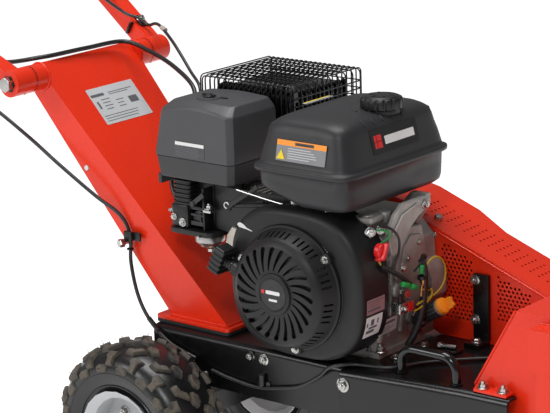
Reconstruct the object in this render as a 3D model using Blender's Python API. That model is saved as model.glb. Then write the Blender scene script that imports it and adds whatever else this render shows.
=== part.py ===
"""Walk-behind stump grinder: a petrol engine on a folded steel chassis drives a toothed cutter wheel.

Lengths in this file are millimetres; objects are made in metres. +X is forward (to the cutter),
+Y is left, +Z is up and the ground is z = 0. Stations along X are counted from a datum 25 mm
behind the wheel axle, and DATUM_X moves them so that the finished object is centred on x = 0.
"""

import math

import bmesh
import bpy
from mathutils import Matrix, Vector

# ---------------------------------------------------------------- driving dimensions (mm)
MM = 0.001
GAP = 0.35                      # clearance left between touching pieces
DATUM_X = -106.0                # from the station datum to the middle of the finished length

DECK_Z = 333.0                  # top of the rear chassis plate
FRONT_DECK_Z = 337.0            # top of the front chassis plate
SHEET = 5.0                     # chassis plate thickness
SKIRT_Z = 240.0                 # lower edge of the chassis sides
REAR_HALF = 119.0               # half-width of the rear chassis
JOIN_X = 424.0                  # where the rear and the front chassis meet

TYRE_R = 166.0
TYRE_HALF_WIDTH = 67.5
TRACK_HALF = 200.0              # middle of a tyre from the machine's centre line
AXLE_X = 25.0
AXLE_Z = TYRE_R
AXLE_R = 12.7

CRANK_X = 327.0
CRANK_Z = 463.5
CRANK_R = 17.4
BLOWER_Y = -140.0               # front face of the blower housing
RECOIL_Y = -190.0               # front of the starter's hub

CUTTER_X = 848.0
CUTTER_Z = 280.0
CUTTER_R = 150.0                # over the teeth
SPINDLE_R = 17.4
HOUSING_HALF = 80.0             # outer half-width of the cutter housing
HOUSING_TOP = 478.0
HOUSING_BOTTOM = 205.0

PIVOT_X = -260.6                # handlebar pivot
PIVOT_Z = 761.5
PIVOT_R = 24.5
BOLT_R = 8.0
ARM_Y = 184.0                   # middle of a handlebar arm at the pivot
ARM_HALF = 16.0
ARM_RISE = math.radians(31.0)
ARM_SPREAD = math.radians(11.0)
GRIP_Y = 262.0
GRIP_Z = 1016.0
GRIP_END_X = -800.0

BELT_Y = (140.0, 164.0)         # the belt's two edges
BELT_THICK = 8.0
DRIVE_PULLEY_R = 38.0           # groove floor
DRIVEN_PULLEY_R = 57.0
GUARD_INNER_Y = 108.5           # engine side of the guard's back plate
GUARD_STEP_Y = 128.5            # the same plate beside the crankshaft
GUARD_STEP_X = 417.0
GUARD_OUTER_Y = 243.0
GUARD_FRONT_Y = 222.0
GUARD_PLATE = 2.3


# ---------------------------------------------------------------- materials
def material(name, colour, roughness, metallic):
    """Return a Principled material, made once."""
    found = bpy.data.materials.get(name)
    if found:
        return found
    made = bpy.data.materials.new(name)
    made.use_nodes = True
    shader = made.node_tree.nodes["Principled BSDF"]
    shader.inputs["Base Color"].default_value = (*colour, 1.0)
    shader.inputs["Roughness"].default_value = roughness
    shader.inputs["Metallic"].default_value = metallic
    return made


def red_paint():
    return material("red_paint", (0.76, 0.045, 0.012), 0.32, 0.0)


def black_paint():
    return material("black_paint", (0.012, 0.012, 0.013), 0.42, 0.0)


def black_plastic():
    return material("black_plastic", (0.022, 0.022, 0.024), 0.5, 0.0)


def grey_plastic():
    return material("grey_plastic", (0.06, 0.06, 0.065), 0.5, 0.0)


def cast_aluminium():
    return material("cast_aluminium", (0.42, 0.40, 0.38), 0.45, 0.9)


def bright_steel():
    return material("bright_steel", (0.62, 0.62, 0.62), 0.28, 1.0)


def rubber():
    return material("rubber", (0.02, 0.02, 0.02), 0.8, 0.0)


def orange_plastic():
    return material("orange_plastic", (0.85, 0.25, 0.01), 0.4, 0.0)


def red_plastic():
    return material("red_plastic", (0.6, 0.01, 0.01), 0.35, 0.0)


# ---------------------------------------------------------------- mesh helpers
def add_object(name, bm, skin, origin=(0.0, 0.0, 0.0), smooth_angle=30.0):
    """Make an object from a bmesh in station millimetres, with its origin at a station point."""
    bmesh.ops.recalc_face_normals(bm, faces=bm.faces)
    shift = Vector((origin[0], origin[1], origin[2]))
    for vertex in bm.verts:
        vertex.co = (vertex.co - shift) * MM
    mesh = bpy.data.meshes.new(name)
    bm.to_mesh(mesh)
    bm.free()
    mesh.materials.append(skin)
    mesh.shade_smooth()
    mesh.set_sharp_from_angle(angle=math.radians(smooth_angle))
    made = bpy.data.objects.new(name, mesh)
    made.location = Vector((origin[0] + DATUM_X, origin[1], origin[2])) * MM
    bpy.context.scene.collection.objects.link(made)
    return made


def rings_to_bmesh(rings, closed_loop=False):
    """Skin a row of equal-length rings; cap both ends unless the rings themselves form a loop."""
    bm = bmesh.new()
    rows = [[bm.verts.new(point) for point in ring] for ring in rings]
    count = len(rings[0])
    last = len(rows) if closed_loop else len(rows) - 1
    for index in range(last):
        low = rows[index]
        high = rows[(index + 1) % len(rows)]
        for side in range(count):
            after = (side + 1) % count
            bm.faces.new((low[side], low[after], high[after], high[side]))
    if not closed_loop:
        bm.faces.new(rows[0])
        bm.faces.new(rows[-1])
    return bm


def prism_y(outline, y_low, y_high):
    """Extrude an outline of (x, z) points along Y."""
    return rings_to_bmesh([[(x, y, z) for x, z in outline] for y in (y_low, y_high)])


def prism_z(outline, z_low, z_high):
    """Extrude an outline of (x, y) points along Z."""
    return rings_to_bmesh([[(x, y, z) for x, y in outline] for z in (z_low, z_high)])


def box(x_low, x_high, y_low, y_high, z_low, z_high, bevel=0.0, segments=2):
    """A box, with all its edges rounded when bevel is given."""
    outline = [(x_low, z_low), (x_high, z_low), (x_high, z_high), (x_low, z_high)]
    bm = prism_y(outline, y_low, y_high)
    if bevel:
        bmesh.ops.bevel(bm, geom=list(bm.edges), offset=bevel, segments=segments,
                        profile=0.5, affect="EDGES")
    return bm


def turned(profile, centre, axis="Y", segments=32):
    """Turn a profile of (radius, station along the axis) about an axis through centre.

    A profile whose ends both touch the axis makes a solid; any other profile is taken as a
    closed outline and makes a ring.
    """
    bm = bmesh.new()
    rings = []
    for radius, along in profile:
        if radius < 1e-6:
            rings.append([bm.verts.new(place_on_axis(0.0, 0.0, along, centre, axis))])
            continue
        ring = []
        for step in range(segments):
            angle = 2.0 * math.pi * step / segments
            point = place_on_axis(radius * math.cos(angle), radius * math.sin(angle),
                                  along, centre, axis)
            ring.append(bm.verts.new(point))
        rings.append(ring)
    solid = len(rings[0]) == 1 and len(rings[-1]) == 1
    pairs = list(zip(rings[:-1], rings[1:]))
    if not solid:
        pairs.append((rings[-1], rings[0]))
    for low, high in pairs:
        for step in range(segments):
            after = (step + 1) % segments
            if len(low) == 1:
                bm.faces.new((low[0], high[after], high[step]))
            elif len(high) == 1:
                bm.faces.new((low[step], low[after], high[0]))
            else:
                bm.faces.new((low[step], low[after], high[after], high[step]))
    return bm


def place_on_axis(across, up, along, centre, axis):
    """Point at (across, up) from an axis through centre, at station along on that axis."""
    if axis == "Y":
        return (centre[0] + across, along, centre[1] + up)
    if axis == "Z":
        return (centre[0] + across, centre[1] + up, along)
    return (along, centre[0] + across, centre[1] + up)


def rod(start, end, radius, segments=16, end_radius=None):
    """A round bar between two points, tapered when end_radius is given."""
    start = Vector(start)
    direction = Vector(end) - start
    turn = direction.to_track_quat("Z", "Y").to_matrix().to_4x4()
    bm = bmesh.new()
    bmesh.ops.create_cone(bm, cap_ends=True, segments=segments, radius1=radius,
                          radius2=radius if end_radius is None else end_radius,
                          depth=direction.length,
                          matrix=Matrix.Translation(start + direction / 2.0) @ turn)
    return bm


def leaning_box(centre, size, angle):
    """A box of size (along, wide, high) about centre, turned by angle about the Y axis."""
    bm = bmesh.new()
    bmesh.ops.create_cube(bm, size=1.0)
    turn = Matrix.Rotation(angle, 4, "Y")
    stretch = Matrix.Diagonal((size[0], size[1], size[2], 1.0))
    bmesh.ops.transform(bm, matrix=Matrix.Translation(Vector(centre)) @ turn @ stretch,
                        verts=bm.verts)
    return bm


def combine(base, other, operation):
    """Boolean two bmeshes in station millimetres and return the result as a new bmesh."""
    skin = black_paint()
    target = add_object("combine_base", base, skin)
    cutter = add_object("combine_tool", other, skin)
    modifier = target.modifiers.new("combine", "BOOLEAN")
    modifier.operation = operation
    modifier.solver = "EXACT"
    modifier.object = cutter
    graph = bpy.context.evaluated_depsgraph_get()
    result = bmesh.new()
    result.from_mesh(target.evaluated_get(graph).to_mesh())
    for used in (target, cutter):
        mesh = used.data
        bpy.data.objects.remove(used)
        bpy.data.meshes.remove(mesh)
    for vertex in result.verts:
        vertex.co = vertex.co / MM
    bmesh.ops.remove_doubles(result, verts=result.verts, dist=0.01)
    return result


def union(base, *others):
    for other in others:
        base = combine(base, other, "UNION")
    return base


def cut(base, *others):
    for other in others:
        base = combine(base, other, "DIFFERENCE")
    return base


def superellipse(half_x, half_z, power, centre, count):
    """Points of a rounded rectangle |x/a|^n + |z/b|^n = 1 about centre."""
    points = []
    for step in range(count):
        angle = 2.0 * math.pi * step / count
        across = abs(math.cos(angle)) / half_x
        up = abs(math.sin(angle)) / half_z
        radius = (across ** power + up ** power) ** (-1.0 / power)
        points.append((centre[0] + radius * math.cos(angle), centre[1] + radius * math.sin(angle)))
    return points


def arc(centre, radius, start_deg, end_deg, steps):
    """Points on an arc, both ends included."""
    points = []
    for step in range(steps + 1):
        angle = math.radians(start_deg + (end_deg - start_deg) * step / steps)
        points.append((centre[0] + radius * math.cos(angle), centre[1] + radius * math.sin(angle)))
    return points


def rounded_rectangle(low, high, radius, steps=3):
    """Outline of a rectangle with round corners, from its low and high corners."""
    (x_low, y_low), (x_high, y_high) = low, high
    corners = [((x_high - radius, y_low + radius), -90.0), ((x_high - radius, y_high - radius), 0.0),
               ((x_low + radius, y_high - radius), 90.0), ((x_low + radius, y_low + radius), 180.0)]
    outline = []
    for centre, start in corners:
        outline += arc(centre, radius, start, start + 90.0, steps)
    return outline


def smooth_route(points, spacing):
    """Points about spacing apart on a Catmull-Rom curve through the route's points."""
    knots = [Vector(point) for point in points]
    padded = [knots[0] * 2 - knots[1]] + knots + [knots[-1] * 2 - knots[-2]]
    route = [knots[0]]
    for index in range(1, len(padded) - 2):
        before, start, end, after = padded[index - 1:index + 3]
        steps = max(1, round((end - start).length / spacing))
        for step in range(1, steps + 1):
            t = step / steps
            route.append(0.5 * ((2 * start) + (end - before) * t
                                + (2 * before - 5 * start + 4 * end - after) * t * t
                                + (3 * start - before - 3 * end + after) * t ** 3))
    return route


def cable(name, points, radius, skin, spacing=34.0):
    """A cable along a route: a bevelled poly curve with filled caps."""
    curve = bpy.data.curves.new(name, "CURVE")
    curve.dimensions = "3D"
    curve.bevel_depth = radius * MM
    curve.bevel_resolution = 2
    curve.use_fill_caps = True
    route = smooth_route(points, spacing)
    spline = curve.splines.new("POLY")
    spline.points.add(len(route) - 1)
    start = route[0]
    for point, place in zip(spline.points, route):
        point.co = (*((place - start) * MM), 1.0)
    curve.materials.append(skin)
    made = bpy.data.objects.new(name, curve)
    made.location = Vector((start.x + DATUM_X, start.y, start.z)) * MM
    bpy.context.scene.collection.objects.link(made)
    return made


# ---------------------------------------------------------------- chassis
def channel_section(half_width, top, bend):
    """Outline in (y, z) of a folded channel that is open below."""
    bottom = SKIRT_Z
    outer = [(-half_width, bottom)] + arc((-half_width + bend, top - bend), bend, 180.0, 90.0, 3)
    outer += arc((half_width - bend, top - bend), bend, 90.0, 0.0, 3) + [(half_width, bottom)]
    inner_half = half_width - SHEET
    inner_bend = bend - SHEET
    inner = [(inner_half, bottom)] + arc((half_width - bend, top - bend), inner_bend, 0.0, 90.0, 3)
    inner += arc((-half_width + bend, top - bend), inner_bend, 90.0, 180.0, 3)
    inner += [(-inner_half, bottom)]
    return outer + inner


def channel(sections, top, bend=13.0):
    """A channel through (x, half_width) sections."""
    rings = []
    for x, half_width in sections:
        rings.append([(x, y, z) for y, z in channel_section(half_width, top, bend)])
    return rings_to_bmesh(rings)


def build_rear_chassis():
    bm = channel([(-14.0, REAR_HALF), (JOIN_X, REAR_HALF)], DECK_Z)
    add_object("rear_chassis", bm, black_paint())


def build_front_chassis():
    """Wider front box that narrows and then forks round the cutter housing."""
    bm = channel([(JOIN_X + 0.5, 141.0), (578.0, 122.0), (650.0, 113.0), (742.0, 113.0)],
                 FRONT_DECK_Z)
    slot = box(678.0, 760.0, -84.0, 84.0, SKIRT_Z - 20.0, FRONT_DECK_Z + 20.0)
    bm = cut(bm, slot)
    add_object("front_chassis", bm, black_paint())


def build_axle():
    """Cross tube with two hangers up to the deck and a stub shaft for each wheel."""
    tube_half = 20.0
    hanger_y = (92.0, 100.0)
    bm = box(AXLE_X - tube_half, AXLE_X + tube_half, -hanger_y[1] + 1.0, hanger_y[1] - 1.0,
             AXLE_Z - tube_half, AXLE_Z + tube_half)
    for side in (-1.0, 1.0):
        low, high = sorted((side * hanger_y[0], side * hanger_y[1]))
        hanger = [(AXLE_X - 26.0, AXLE_Z - 26.0), (AXLE_X + 26.0, AXLE_Z - 26.0),
                  (AXLE_X + 44.0, DECK_Z - SHEET - GAP), (AXLE_X - 36.0, DECK_Z - SHEET - GAP)]
        stub = rod((AXLE_X, side * 95.0, AXLE_Z), (AXLE_X, side * 259.0, AXLE_Z), AXLE_R, 24)
        bm = union(bm, prism_y(hanger, low, high), stub)
    add_object("axle", bm, black_paint())


def build_lift_loop():
    """Round-bar loop standing on the front deck, on the right side."""
    radius = 8.0
    y = -92.0
    foot = FRONT_DECK_Z + GAP
    top = 381.0
    rear_x, front_x = 519.0, 630.0
    bend = 26.0
    route = [(rear_x, foot)] + arc((rear_x + bend, top - bend), bend, 180.0, 90.0, 4)
    route += arc((front_x - bend, top - bend), bend, 90.0, 0.0, 4) + [(front_x, foot)]
    places = [Vector((x, y, z)) for x, z in route]
    add_object("lift_loop", pipe(places, radius, 10), black_paint())


def build_parking_stand():
    """Folding front stand: a pivot bar, two legs and a flat foot plate on the ground."""
    pivot = (600.0, 262.0)
    foot = (640.0, 5.0)
    leg_y = 92.0
    bm = rod((pivot[0], -112.0, pivot[1]), (pivot[0], 112.0, pivot[1]), 9.0, 12)
    bm = union(bm, box(foot[0] - 24.0, foot[0] + 24.0, -110.0, 110.0, 0.0, 8.0))
    lean = math.atan2(foot[0] - pivot[0], pivot[1] - foot[1])
    length = math.hypot(foot[0] - pivot[0], pivot[1] - foot[1])
    middle = ((foot[0] + pivot[0]) / 2.0, (foot[1] + pivot[1]) / 2.0)
    for side in (-1.0, 1.0):
        leg = leaning_box((middle[0], side * leg_y, middle[1]), (24.0, 10.0, length), -lean)
        bm = union(bm, leg)
    add_object("parking_stand", bm, black_paint(), (pivot[0], 0.0, pivot[1]))


# ---------------------------------------------------------------- wheels
def build_wheel(side, name):
    """Tyre carcass and rim of one wheel; side is -1 (right) or 1 (left)."""
    middle = side * TRACK_HALF
    outer = [(78.5, -52.0), (92.0, -62.5), (122.0, -TYRE_HALF_WIDTH), (152.0, -62.0),
             (TYRE_R, -42.0), (TYRE_R, 42.0), (152.0, 62.0), (122.0, TYRE_HALF_WIDTH),
             (92.0, 62.5), (78.5, 52.0)]
    inner = [(122.0, 56.0), (152.0, 38.0), (152.0, -38.0), (122.0, -56.0)]
    profile = [(radius, middle + along) for radius, along in outer + inner]
    tyre = turned(profile, (AXLE_X, AXLE_Z), segments=32)
    add_object("tyre_" + name, tyre, rubber(), (AXLE_X, middle, AXLE_Z))

    bore = AXLE_R + 0.35
    rim = [(bore, -48.0), (24.0, -48.0), (24.0, 8.0), (72.0, 8.0), (72.0, -52.0), (86.0, -65.0),
           (88.0, -63.5), (77.2, -54.5), (77.2, 54.5), (88.0, 63.5), (86.0, 65.0), (72.0, 52.0),
           (72.0, 12.0), (24.0, 12.0), (24.0, 56.0), (bore, 56.0)]
    profile = [(radius, middle + side * along) for radius, along in rim]
    wheel = turned(profile, (AXLE_X, AXLE_Z), segments=20)
    if side < 0:
        drum = [(46.0, 9.0), (46.0, -30.0), (52.0, -30.0), (52.0, 9.0)]
        ring = turned([(radius, middle + side * along) for radius, along in drum],
                      (AXLE_X, AXLE_Z), segments=20)
        wheel = union(wheel, ring)
    add_object("rim_" + name, wheel, grey_plastic(), (AXLE_X, middle, AXLE_Z))


BRAKE_PIVOT = (78.0, 205.0)
BRAKE_ARM_Y = -124.5


def build_brake_arm():
    """Lever beside the right wheel that the brake cable pulls."""
    pivot_x, pivot_z = BRAKE_PIVOT
    outline = arc(BRAKE_PIVOT, 12.0, 150.0, 330.0, 6)
    tip = (pivot_x + 34.0, pivot_z + 58.0)
    outline += arc(tip, 7.0, -30.0, 150.0, 5)
    bm = prism_y(outline, BRAKE_ARM_Y - 2.5, BRAKE_ARM_Y + 2.5)
    boss = rod((pivot_x, -119.5, pivot_z), (pivot_x, BRAKE_ARM_Y - 4.0, pivot_z), 8.0, 12)
    bm = union(bm, boss)
    add_object("brake_arm", bm, bright_steel(), (pivot_x, BRAKE_ARM_Y, pivot_z))


# ---------------------------------------------------------------- steering column
COLUMN_X = (-22.0, 150.0)
COLUMN_HALF = 103.0
PLATE_TOP = 346.0


def column_half_width(z):
    """Half-width of the column, which flares evenly from foot to head."""
    foot_z, foot_half = 348.0, 89.3
    head_z, head_half = 761.0, 124.5
    return foot_half + (head_half - foot_half) * (z - foot_z) / (head_z - foot_z)


def column_solid(profile, inset):
    """Skin the column's side profile, drawn in by inset at both sides."""
    rings = []
    for side in (-1.0, 1.0):
        rings.append([(x, side * (column_half_width(z) - inset), z) for x, z in profile])
    return rings_to_bmesh(rings)


def build_column():
    corner = 8.0
    low = (COLUMN_X[0], -COLUMN_HALF)
    high = (COLUMN_X[1], COLUMN_HALF)
    outline = rounded_rectangle(low, high, corner)
    gasket = prism_z(outline, DECK_Z + GAP, 339.0)
    add_object("column_gasket", gasket, rubber())
    plate = prism_z(outline, 339.0 + GAP, PLATE_TOP)
    add_object("column_base_plate", plate, red_paint())

    wall = 4.0
    below = 12.0                    # how far the hollow runs on past the open foot
    foot_z = PLATE_TOP + GAP
    front_x, rear_x = 137.7, 4.5
    top_front, top_rear = (-268.0, 785.0), (-300.0, 757.0)
    front_run = (front_x - top_front[0]) / (top_front[1] - foot_z) * below
    rear_run = (rear_x - top_rear[0]) / (top_rear[1] - foot_z) * below
    outer = [(front_x, foot_z), top_front, top_rear, (rear_x, foot_z)]
    deeper = [(front_x + front_run, foot_z - below), top_front, top_rear,
              (rear_x + rear_run, foot_z - below)]
    bm = column_solid(outer, 0.0)
    for side in (-1.0, 1.0):
        collar = rod((PIVOT_X, side * 121.0, PIVOT_Z), (PIVOT_X, side * 154.6, PIVOT_Z), PIVOT_R, 24)
        bm = union(bm, collar)
    bm = cut(bm, column_solid(inset_outline(deeper, wall), wall))
    bolt_hole = rod((PIVOT_X, -160.0, PIVOT_Z), (PIVOT_X, 160.0, PIVOT_Z), BOLT_R + 0.6, 20)
    bm = cut(bm, bolt_hole)
    add_object("steering_column", bm, red_paint())


def inset_outline(outline, amount):
    """Move every edge of a convex counter-clockwise outline inwards by amount."""
    corners = [Vector(point) for point in outline]
    moved = []
    for index, corner in enumerate(corners):
        arriving = (corner - corners[index - 1]).normalized()
        leaving = (corners[(index + 1) % len(corners)] - corner).normalized()
        in_arriving = Vector((-arriving.y, arriving.x))
        in_leaving = Vector((-leaving.y, leaving.x))
        share = 1.0 + in_arriving.dot(in_leaving)
        moved.append(tuple(corner + (in_arriving + in_leaving) * amount / share))
    return moved


# ---------------------------------------------------------------- handlebar
def along_arm(side, distance, out=0.0, lift=0.0):
    """Point at a distance up an arm from the pivot, moved outwards and above the arm's middle."""
    cosine, sine = math.cos(ARM_RISE), math.sin(ARM_RISE)
    run = distance * math.cos(ARM_SPREAD) - out * math.sin(ARM_SPREAD)
    spread = distance * math.sin(ARM_SPREAD) + out * math.cos(ARM_SPREAD)
    return Vector((PIVOT_X - run * cosine + lift * sine, side * (ARM_Y + spread),
                   PIVOT_Z + run * sine + lift * cosine))


def pipe(route, radius, segments=12):
    """Round tube wall along a route, as a bmesh."""
    rings = []
    for index, place in enumerate(route):
        before = route[max(index - 1, 0)]
        after = route[min(index + 1, len(route) - 1)]
        along = (after - before).normalized()
        side = along.cross(Vector((0.0, 0.0, 1.0))).normalized()
        up = side.cross(along)
        ring = []
        for step in range(segments):
            angle = 2.0 * math.pi * step / segments
            ring.append(place + side * radius * math.cos(angle) + up * radius * math.sin(angle))
        rings.append(ring)
    return rings_to_bmesh(rings)


def handle_route(side):
    """Route of the round handle bar from inside an arm to the grip's end."""
    y = side * GRIP_Y
    knots = [along_arm(side, 395.0), along_arm(side, 425.0), (-668.0, y, GRIP_Z - 7.0),
             (-682.0, y, GRIP_Z)]
    straight = [Vector((-688.0, y, GRIP_Z)), Vector((GRIP_END_X + 2.0, y, GRIP_Z))]
    return smooth_route(knots, 40.0) + straight


def arm_bar(side, start, end):
    """Square bar of one arm between two distances from the pivot."""
    rings = []
    for distance in (start, end):
        rings.append([along_arm(side, distance, out * ARM_HALF, lift * ARM_HALF)
                      for out, lift in ((-1, -1), (1, -1), (1, 1), (-1, 1))])
    return rings_to_bmesh(rings)


def build_handlebar():
    """One welded frame: sleeves, square arms, cross bar, button box and round handles."""
    frame = rod(along_arm(-1.0, 330.0), along_arm(1.0, 330.0), 12.5, 12)
    for side in (-1.0, 1.0):
        sleeve = rod((PIVOT_X, side * 155.0, PIVOT_Z), (PIVOT_X, side * 203.0, PIVOT_Z), PIVOT_R, 24)
        frame = union(frame, arm_bar(side, 12.0, 415.0), sleeve, pipe(handle_route(side), 11.0, 10))
    x, y, z = STOP_BUTTON
    button_box = box(x - 18.0, x + 18.0, y - 18.0, y + 18.0, z - 28.0, z - 5.0)
    perch = box(BRAKE_LEVER_PIVOT[0] - 16.0, BRAKE_LEVER_PIVOT[0] + 16.0, -GRIP_Y - 14.0,
                -GRIP_Y - 9.6, BRAKE_LEVER_PIVOT[2] - 10.0, GRIP_Z - 2.0)
    frame = union(frame, button_box, perch)
    pocket = rod((x, y, z - 17.0), (x, y, z + 5.0), 8.6, 16)
    bolt_hole = rod((PIVOT_X, -220.0, PIVOT_Z), (PIVOT_X, 220.0, PIVOT_Z), BOLT_R + 0.6, 20)
    frame = cut(frame, pocket, bolt_hole)
    add_object("handlebar_frame", frame, red_paint(), (PIVOT_X, 0.0, PIVOT_Z))

    for side, name in ((-1.0, "right"), (1.0, "left")):
        start, end = GRIP_END_X - 4.0, -694.0
        profile = [(0.0, start), (13.0, start), (17.0, start + 4.0), (17.0, end - 8.0),
                   (19.0, end - 6.0), (19.0, end), (11.6, end), (11.6, GRIP_END_X + 1.0),
                   (0.0, GRIP_END_X + 1.0)]
        grip = turned(profile, (side * GRIP_Y, GRIP_Z), axis="X", segments=16)
        add_object("grip_" + name, grip, rubber())


# Where the two hand levers turn, and where the stop button sits.
BRAKE_LEVER_PIVOT = (-664.0, -262.0, 976.0)
THROTTLE_PIVOT = (-572.0, 232.0, 949.0)
STOP_BUTTON = (-538.2, -110.0, 953.0)


def build_hand_controls():
    pivot_x, pivot_y, pivot_z = BRAKE_LEVER_PIVOT
    outline = [(pivot_x + 10.0, pivot_z - 7.0), (pivot_x + 10.0, pivot_z + 7.0),
               (pivot_x - 26.0, pivot_z + 4.0), (pivot_x - 118.0, pivot_z - 12.0),
               (pivot_x - 120.0, pivot_z - 20.0), (pivot_x - 28.0, pivot_z - 10.0)]
    lever = prism_y(outline, pivot_y - 7.0, pivot_y + 7.0)
    boss = rod((pivot_x, pivot_y - 9.0, pivot_z), (pivot_x, pivot_y + 9.0, pivot_z), 9.5, 12)
    add_object("brake_lever", union(lever, boss), black_paint(), BRAKE_LEVER_PIVOT)

    pivot_x, pivot_y, pivot_z = THROTTLE_PIVOT
    disc = rod((pivot_x, pivot_y - 6.0, pivot_z), (pivot_x, pivot_y + 2.4, pivot_z), 14.0, 16)
    blade = leaning_box((pivot_x - 8.0, pivot_y - 3.0, pivot_z + 26.0), (9.0, 5.0, 50.0), -0.3)
    add_object("throttle_lever", union(disc, blade), black_plastic(), THROTTLE_PIVOT)

    button_x, button_y, button_z = STOP_BUTTON
    cap = [(0.0, button_z - 11.0), (8.0, button_z - 11.0), (8.0, button_z), (13.0, button_z),
           (13.0, button_z + 6.0), (0.0, button_z + 8.0)]
    button = turned(cap, (button_x, button_y), axis="Z", segments=16)
    add_object("stop_button", button, red_plastic(), STOP_BUTTON)


# ---------------------------------------------------------------- engine
def build_crankcase():
    """Aluminium case with feet, bearing boss, side cover, tank arms and oil filler."""
    outline = [(228.0, 342.0), (442.0, 342.0), (455.0, 420.0), (448.0, 520.0), (404.0, 563.0),
               (300.0, 563.0), (228.0, 520.0)]
    bm = prism_y(outline, -62.0, 106.0)
    base = box(211.0, 451.0, -62.4, 72.0, FRONT_DECK_Z + GAP, 348.0)
    pad = box(213.0, 423.0, -60.0, 70.0, DECK_Z + GAP, 342.0)
    boss = rod((CRANK_X, 98.0, CRANK_Z), (CRANK_X, 126.0, CRANK_Z), 84.0, 28)
    bulge = [(436.0, 392.0), (462.0, 404.0), (473.0, 420.0), (473.0, 452.0), (462.0, 474.0),
             (436.0, 492.0)]
    arm = [(392.0, 512.0), (424.0, 512.0), (470.0, 585.0), (470.0, 603.5), (438.0, 603.5),
           (392.0, 550.0)]
    rear_arm = box(262.0, 284.0, 18.0, 58.0, 500.0, 603.5)
    along = Vector((math.cos(DIPSTICK_RISE), 0.0, math.sin(DIPSTICK_RISE)))
    mouth = Vector(DIPSTICK) - along * 0.6
    neck = rod(mouth - along * 80.0, mouth, 15.0, 14)
    bm = union(bm, base, pad, boss, prism_y(bulge, 62.0, 105.5), prism_y(arm, 52.0, 66.0), rear_arm,
               neck)
    shaft_hole = rod((CRANK_X, -80.0, CRANK_Z), (CRANK_X, 140.0, CRANK_Z), CRANK_R + 1.0, 20)
    hollow = rod((CRANK_X, -40.0, CRANK_Z), (CRANK_X, 96.0, CRANK_Z), 66.0, 24)
    neck_hole = rod(mouth - along * 66.0, mouth + along * 6.0, 10.0, 12)
    bm = cut(bm, shaft_hole, hollow, neck_hole)
    add_object("engine_crankcase", bm, cast_aluminium())


CYLINDER_TILT = math.radians(25.0)


def cylinder_point(along, across):
    """Point in the (x, z) plane at a distance along the leaning cylinder and across it."""
    cosine, sine = math.cos(CYLINDER_TILT), math.sin(CYLINDER_TILT)
    return (CRANK_X - along * cosine + across * sine, CRANK_Z + along * sine + across * cosine)


def build_cylinder():
    """Finned cylinder and head, leaning back from the crankcase, with its valve cover."""
    fins = 6
    pitch = 17.0
    start = 118.0
    barrel, fin, cover = 40.0, 52.0, 36.0
    upper = [(start, barrel)]
    for index in range(fins):
        edge = start + 8.0 + index * pitch
        upper += [(edge, barrel), (edge, fin), (edge + 8.0, fin), (edge + 8.0, barrel)]
    end = start + fins * pitch + 8.0
    upper += [(end, barrel), (end, cover), (end + 32.0, cover)]
    outline = upper + [(along, -across) for along, across in reversed(upper)]
    points = [cylinder_point(along, across) for along, across in outline]
    bm = prism_y(points, -46.0, 60.0)
    add_object("cylinder_block", bm, cast_aluminium())


def build_blower_housing():
    """Shell over the flywheel, open behind, with a round mouth for the starter."""
    centre = (331.0, 469.0)
    count = 32
    back = -63.0
    wall = 3.0

    def ring(inset, y):
        points = superellipse(143.0 - inset, 131.0 - inset, 2.8, centre, count)
        return [(x, y, z) for x, z in points]

    def mouth(y):
        return [(CRANK_X + 98.0 * math.cos(2 * math.pi * step / count), y,
                 CRANK_Z + 98.0 * math.sin(2 * math.pi * step / count)) for step in range(count)]

    rings = [ring(0.0, back), ring(1.0, BLOWER_Y + 20.0), ring(6.0, BLOWER_Y + 5.0),
             ring(14.0, BLOWER_Y), mouth(BLOWER_Y), mouth(BLOWER_Y + wall),
             ring(15.0, BLOWER_Y + wall), ring(wall, BLOWER_Y + 22.0), ring(wall, back)]
    add_object("blower_housing", rings_to_bmesh(rings, closed_loop=True), black_plastic(),
               smooth_angle=50.0)


# The starter rope leaves the starter low on its rear side and is pulled up and back.
PULL_RISE = math.radians(24.0)
PULL_START = (219.2, -162.0, 486.7)


def along_pull(distance):
    x, y, z = PULL_START
    return (x - distance * math.cos(PULL_RISE), y, z + distance * math.sin(PULL_RISE))


def build_starter():
    """Recoil cover, the rope reel inside it and the pull handle."""
    face = -185.0
    profile = [(0.0, RECOIL_Y), (34.0, RECOIL_Y), (36.0, face - 1.0), (84.0, face), (92.0, -178.0),
               (105.0, -147.0), (109.0, -146.0), (109.0, BLOWER_Y - GAP),
               (101.0, BLOWER_Y - GAP), (88.0, -176.0), (82.0, -181.0), (0.0, -181.0)]
    cover = turned(profile, (CRANK_X, CRANK_Z), segments=28)
    guide = rod(along_pull(-40.0), along_pull(1.0), 11.0, 12)
    hole = rod(along_pull(-56.0), along_pull(6.0), 4.5, 12)
    cover = cut(union(cover, guide), hole)
    add_object("recoil_cover", cover, black_plastic(), (CRANK_X, RECOIL_Y, CRANK_Z))

    reel = [(8.0, -176.0), (62.0, -176.0), (62.0, -172.0), (34.0, -171.0), (34.0, -157.0),
            (62.0, -156.0), (62.0, -152.0), (8.0, -152.0)]
    add_object("starter_reel", turned(reel, (CRANK_X, CRANK_Z), segments=24), grey_plastic(),
               (CRANK_X, -164.0, CRANK_Z))

    stem = rod(along_pull(1.0 + GAP), along_pull(20.0), 8.0, 12)
    grip_x, grip_y, grip_z = along_pull(28.0)
    grip = leaning_box((grip_x, grip_y, grip_z), (26.0, 36.0, 50.0), PULL_RISE)
    bmesh.ops.bevel(grip, geom=list(grip.edges), offset=4.0, segments=1, affect="EDGES")
    add_object("starter_handle", union(stem, grip), black_plastic(), along_pull(2.0))


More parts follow.
